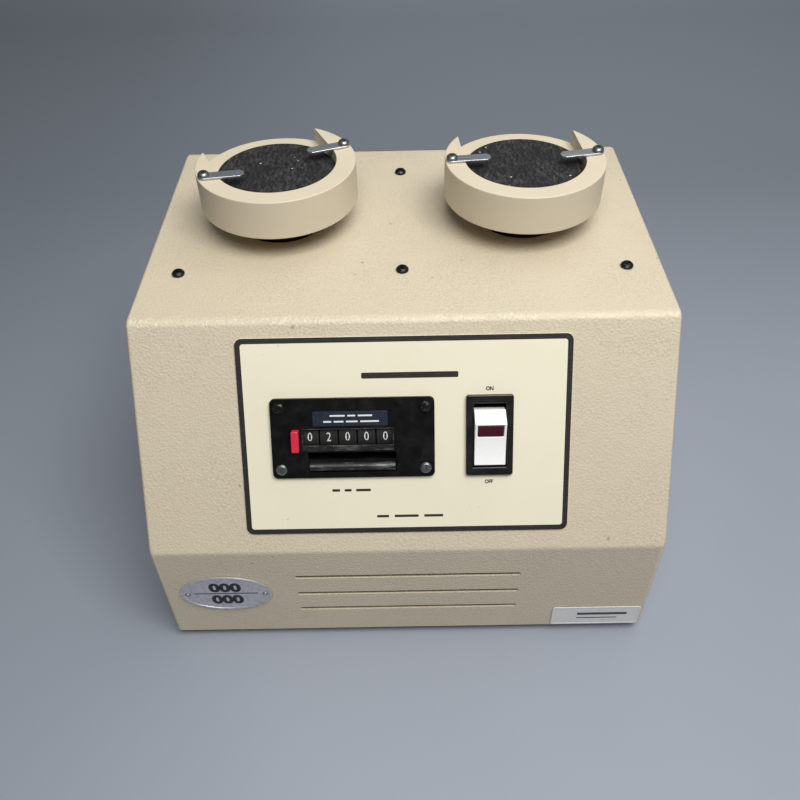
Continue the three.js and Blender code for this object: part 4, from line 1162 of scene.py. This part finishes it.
def lens_frame():
    """Where the lens lies on the rocker's face, just below its ridge."""
    steps = 400
    wanted = LENS["below_ridge"] + LENS["length"] / 2
    travelled, i = 0.0, 0
    while travelled < wanted:
        travelled += (rocker_face((i + 1) / steps) - rocker_face(i / steps)).length
        i += 1
    centre = rocker_face(i / steps)
    downward = rocker_face((i + 1) / steps) - rocker_face((i - 1) / steps)
    tilt = math.atan2(-downward.y, -downward.x)
    return Matrix.Translation((0, centre.x, centre.y)) @ Matrix.Rotation(tilt, 4, "X")


def build_switch():
    flange = prism(outline_of(SWITCH, SWITCH["radius"]), SWITCH["back"], SWITCH["front"])
    body = prism(outline_of(SWITCH_BODY, 0), SWITCH["low"], SWITCH["back"] + 1)
    cavity = prism(outline_of(SWITCH_CAVITY, 0), SWITCH_CAVITY["low"], 20)
    shell = boolean(boolean(flange, [body], "UNION"), [cavity])
    place("switch_frame", shell, SWITCH_FRAME, "housing", SWITCH_BLACK, ["switch_body"],
          edge=0.7, segments=3)
    width, length = LENS["width"] + 2 * LENS_GAP, LENS["length"] + 2 * LENS_GAP
    pocket = box(width, length, -LENS["thickness"] - LENS_GAP, 20)
    rocker = boolean(rocker_mesh(), [moved(pocket, lens_frame())])
    place("rocker", rocker, SWITCH_FRAME, "rocker", WHITE, ["power_rocker"],
          edge=0.35, segments=3)
    lens = prism(rounded_rectangle(LENS["width"], LENS["length"], 0.4), -LENS["thickness"], LENS["proud"])
    place("lens", lens, SWITCH_FRAME @ lens_frame(), "rocker", RED_LENS,
          ["rocker_lens"], edge=0.15)


# ---- Cup stations ----


def cup_mesh():
    blank = turned([
        (0, CUP_SOCKET["top"], 0),
        (CUP_SOCKET["radius"], CUP_SOCKET["top"], 0),
        (CUP_SOCKET["radius"], CUP["bottom"], 0),
        (CUP["radius"], CUP["bottom"], 0.9),
        (CUP["radius"], CUP["top"], 0.6),
        (CUP["pocket"], CUP["top"], 0.5),
        (CUP["pocket"], CUP["floor"], 0),
        (0, CUP["floor"], 0),
    ], 144)
    past = 20.0
    slot = box(2 * CUP["pocket"], CUP["radius"] + past, CUP["slot_floor"], CUP["top"] + past,
               0, (CUP["radius"] + past) / 2)
    cup = boolean(blank, [slot])
    bmesh.ops.dissolve_degenerate(cup, dist=1e-4, edges=cup.edges)
    sharp = [edge for edge in cup.edges if edge.calc_face_angle(0) > math.radians(50)]
    bmesh.ops.bevel(cup, geom=sharp, offset=CUP_EDGE, segments=2, profile=0.5, affect="EDGES",
                    clamp_overlap=True)
    return cup


def collar_mesh():
    return turned([
        (COLLAR["bore"], COLLAR["low"], 0),
        (COLLAR["stem"], COLLAR["low"], 0.5),
        (COLLAR["stem"], COLLAR["foot"], 0),
        (COLLAR["radius"], COLLAR["foot"], 0.3),
        (COLLAR["radius"], COLLAR["top"], 1.0),
        (COLLAR["bore"], COLLAR["top"], 0.3),
    ], 96)


def clip_mesh():
    """A flat strip along +X: round about its screw, with the corners cut off its tip."""
    half, reach, corner = CLIP["width"] / 2, CLIP["reach"], CLIP["corner"]
    outline = [
        Vector((reach - corner, -half)),
        Vector((reach, corner - half)),
        Vector((reach, half - corner)),
        Vector((reach - corner, half)),
    ]
    for step in range(25):
        angle = math.pi * (0.5 + step / 24)
        outline.append(Vector((half * math.cos(angle), half * math.sin(angle))))
    return boolean(prism(outline, 0, CLIP["thickness"]), [rod(CLIP["hole"], -1, 5, 24)])


def build_station(side):
    at = station_frame(side)
    turntable = f"{side}_turntable"
    place(f"{side}_turned_cup", cup_mesh(), at, turntable, CUP_PLASTIC,
          [f"{side}_cup"], edge=0)
    pad = turned([(0, PAD["low"], 0), (PAD["radius"], PAD["low"], 0.3), (PAD["radius"], PAD["high"], 0.7),
                  (0, PAD["high"], 0)], 128)
    place(f"{side}_rubber_pad", pad, at, turntable, PAD_RUBBER, [f"{side}_pad"], edge=0)
    place(f"{side}_collar", collar_mesh(), at, "housing", COLLAR_BLACK,
          [f"{side}_guide_collar"], edge=0)
    for i, (letter, facing) in enumerate((("a", 0.0), ("b", math.pi)), start=1):
        spot = pivot(f"{side}_clip_{letter}_swivel")
        spot.z = DECK_Z + CLIP_LEVEL
        turn = at.to_euler().z + facing + math.radians(CLIP_TURN[side][i - 1])
        strip_at = Matrix.Translation(spot) @ Matrix.Rotation(turn, 4, "Z")
        place(f"{side}_strip_{i}", clip_mesh(), strip_at, f"{side}_clip_{letter}",
              CLIP_STEEL, [f"{side}_clip_{i}"], edge=0.2)
        screw_at = Matrix.Translation(spot + Vector((0, 0, CLIP["thickness"] + SCREW_CLEARANCE)))
        spin = Matrix.Rotation(math.radians(20 + 50 * i), 4, "Z")
        place(f"cross_{side}_clip_{i}_screw", screw_mesh("clip"), screw_at @ spin, turntable,
              WORN_SCREW, [f"{side}_clip_{i}_screw"], edge=0.1)


# ---- Pieces inside the housing, and the whole ----


def carry_over_inside():
    for node in ("base_plate", "bridge_plate", "left_bearing_hanger", "right_bearing_hanger"):
        carry_over(node, PLATED_STEEL, edge=0.3)
    for node in ("camshaft", "left_cam", "right_cam", "left_cam_lifter", "right_cam_lifter",
                 "left_tap_shaft", "right_tap_shaft"):
        carry_over(node, GROUND_STEEL, edge=0.2)
    carry_over("gearmotor", MACHINE_PAINT, edge=0.8)
    carry_over("count_switch", BLACK, edge=0.3)
    carry_over("counter_case", BLACK, edge=0.2)


add_camera()
add_lights()
add_stage()
build_cover()
build_feet()
build_housing_screws()
build_tag()
build_label()
build_inlet()
build_overlay()
build_overlay_print()
build_counter_plate()
build_strip()
build_guard_bar()
build_wheels()
build_red_button()
build_switch()
for station in ("left", "right"):
    build_station(station)
carry_over_inside()
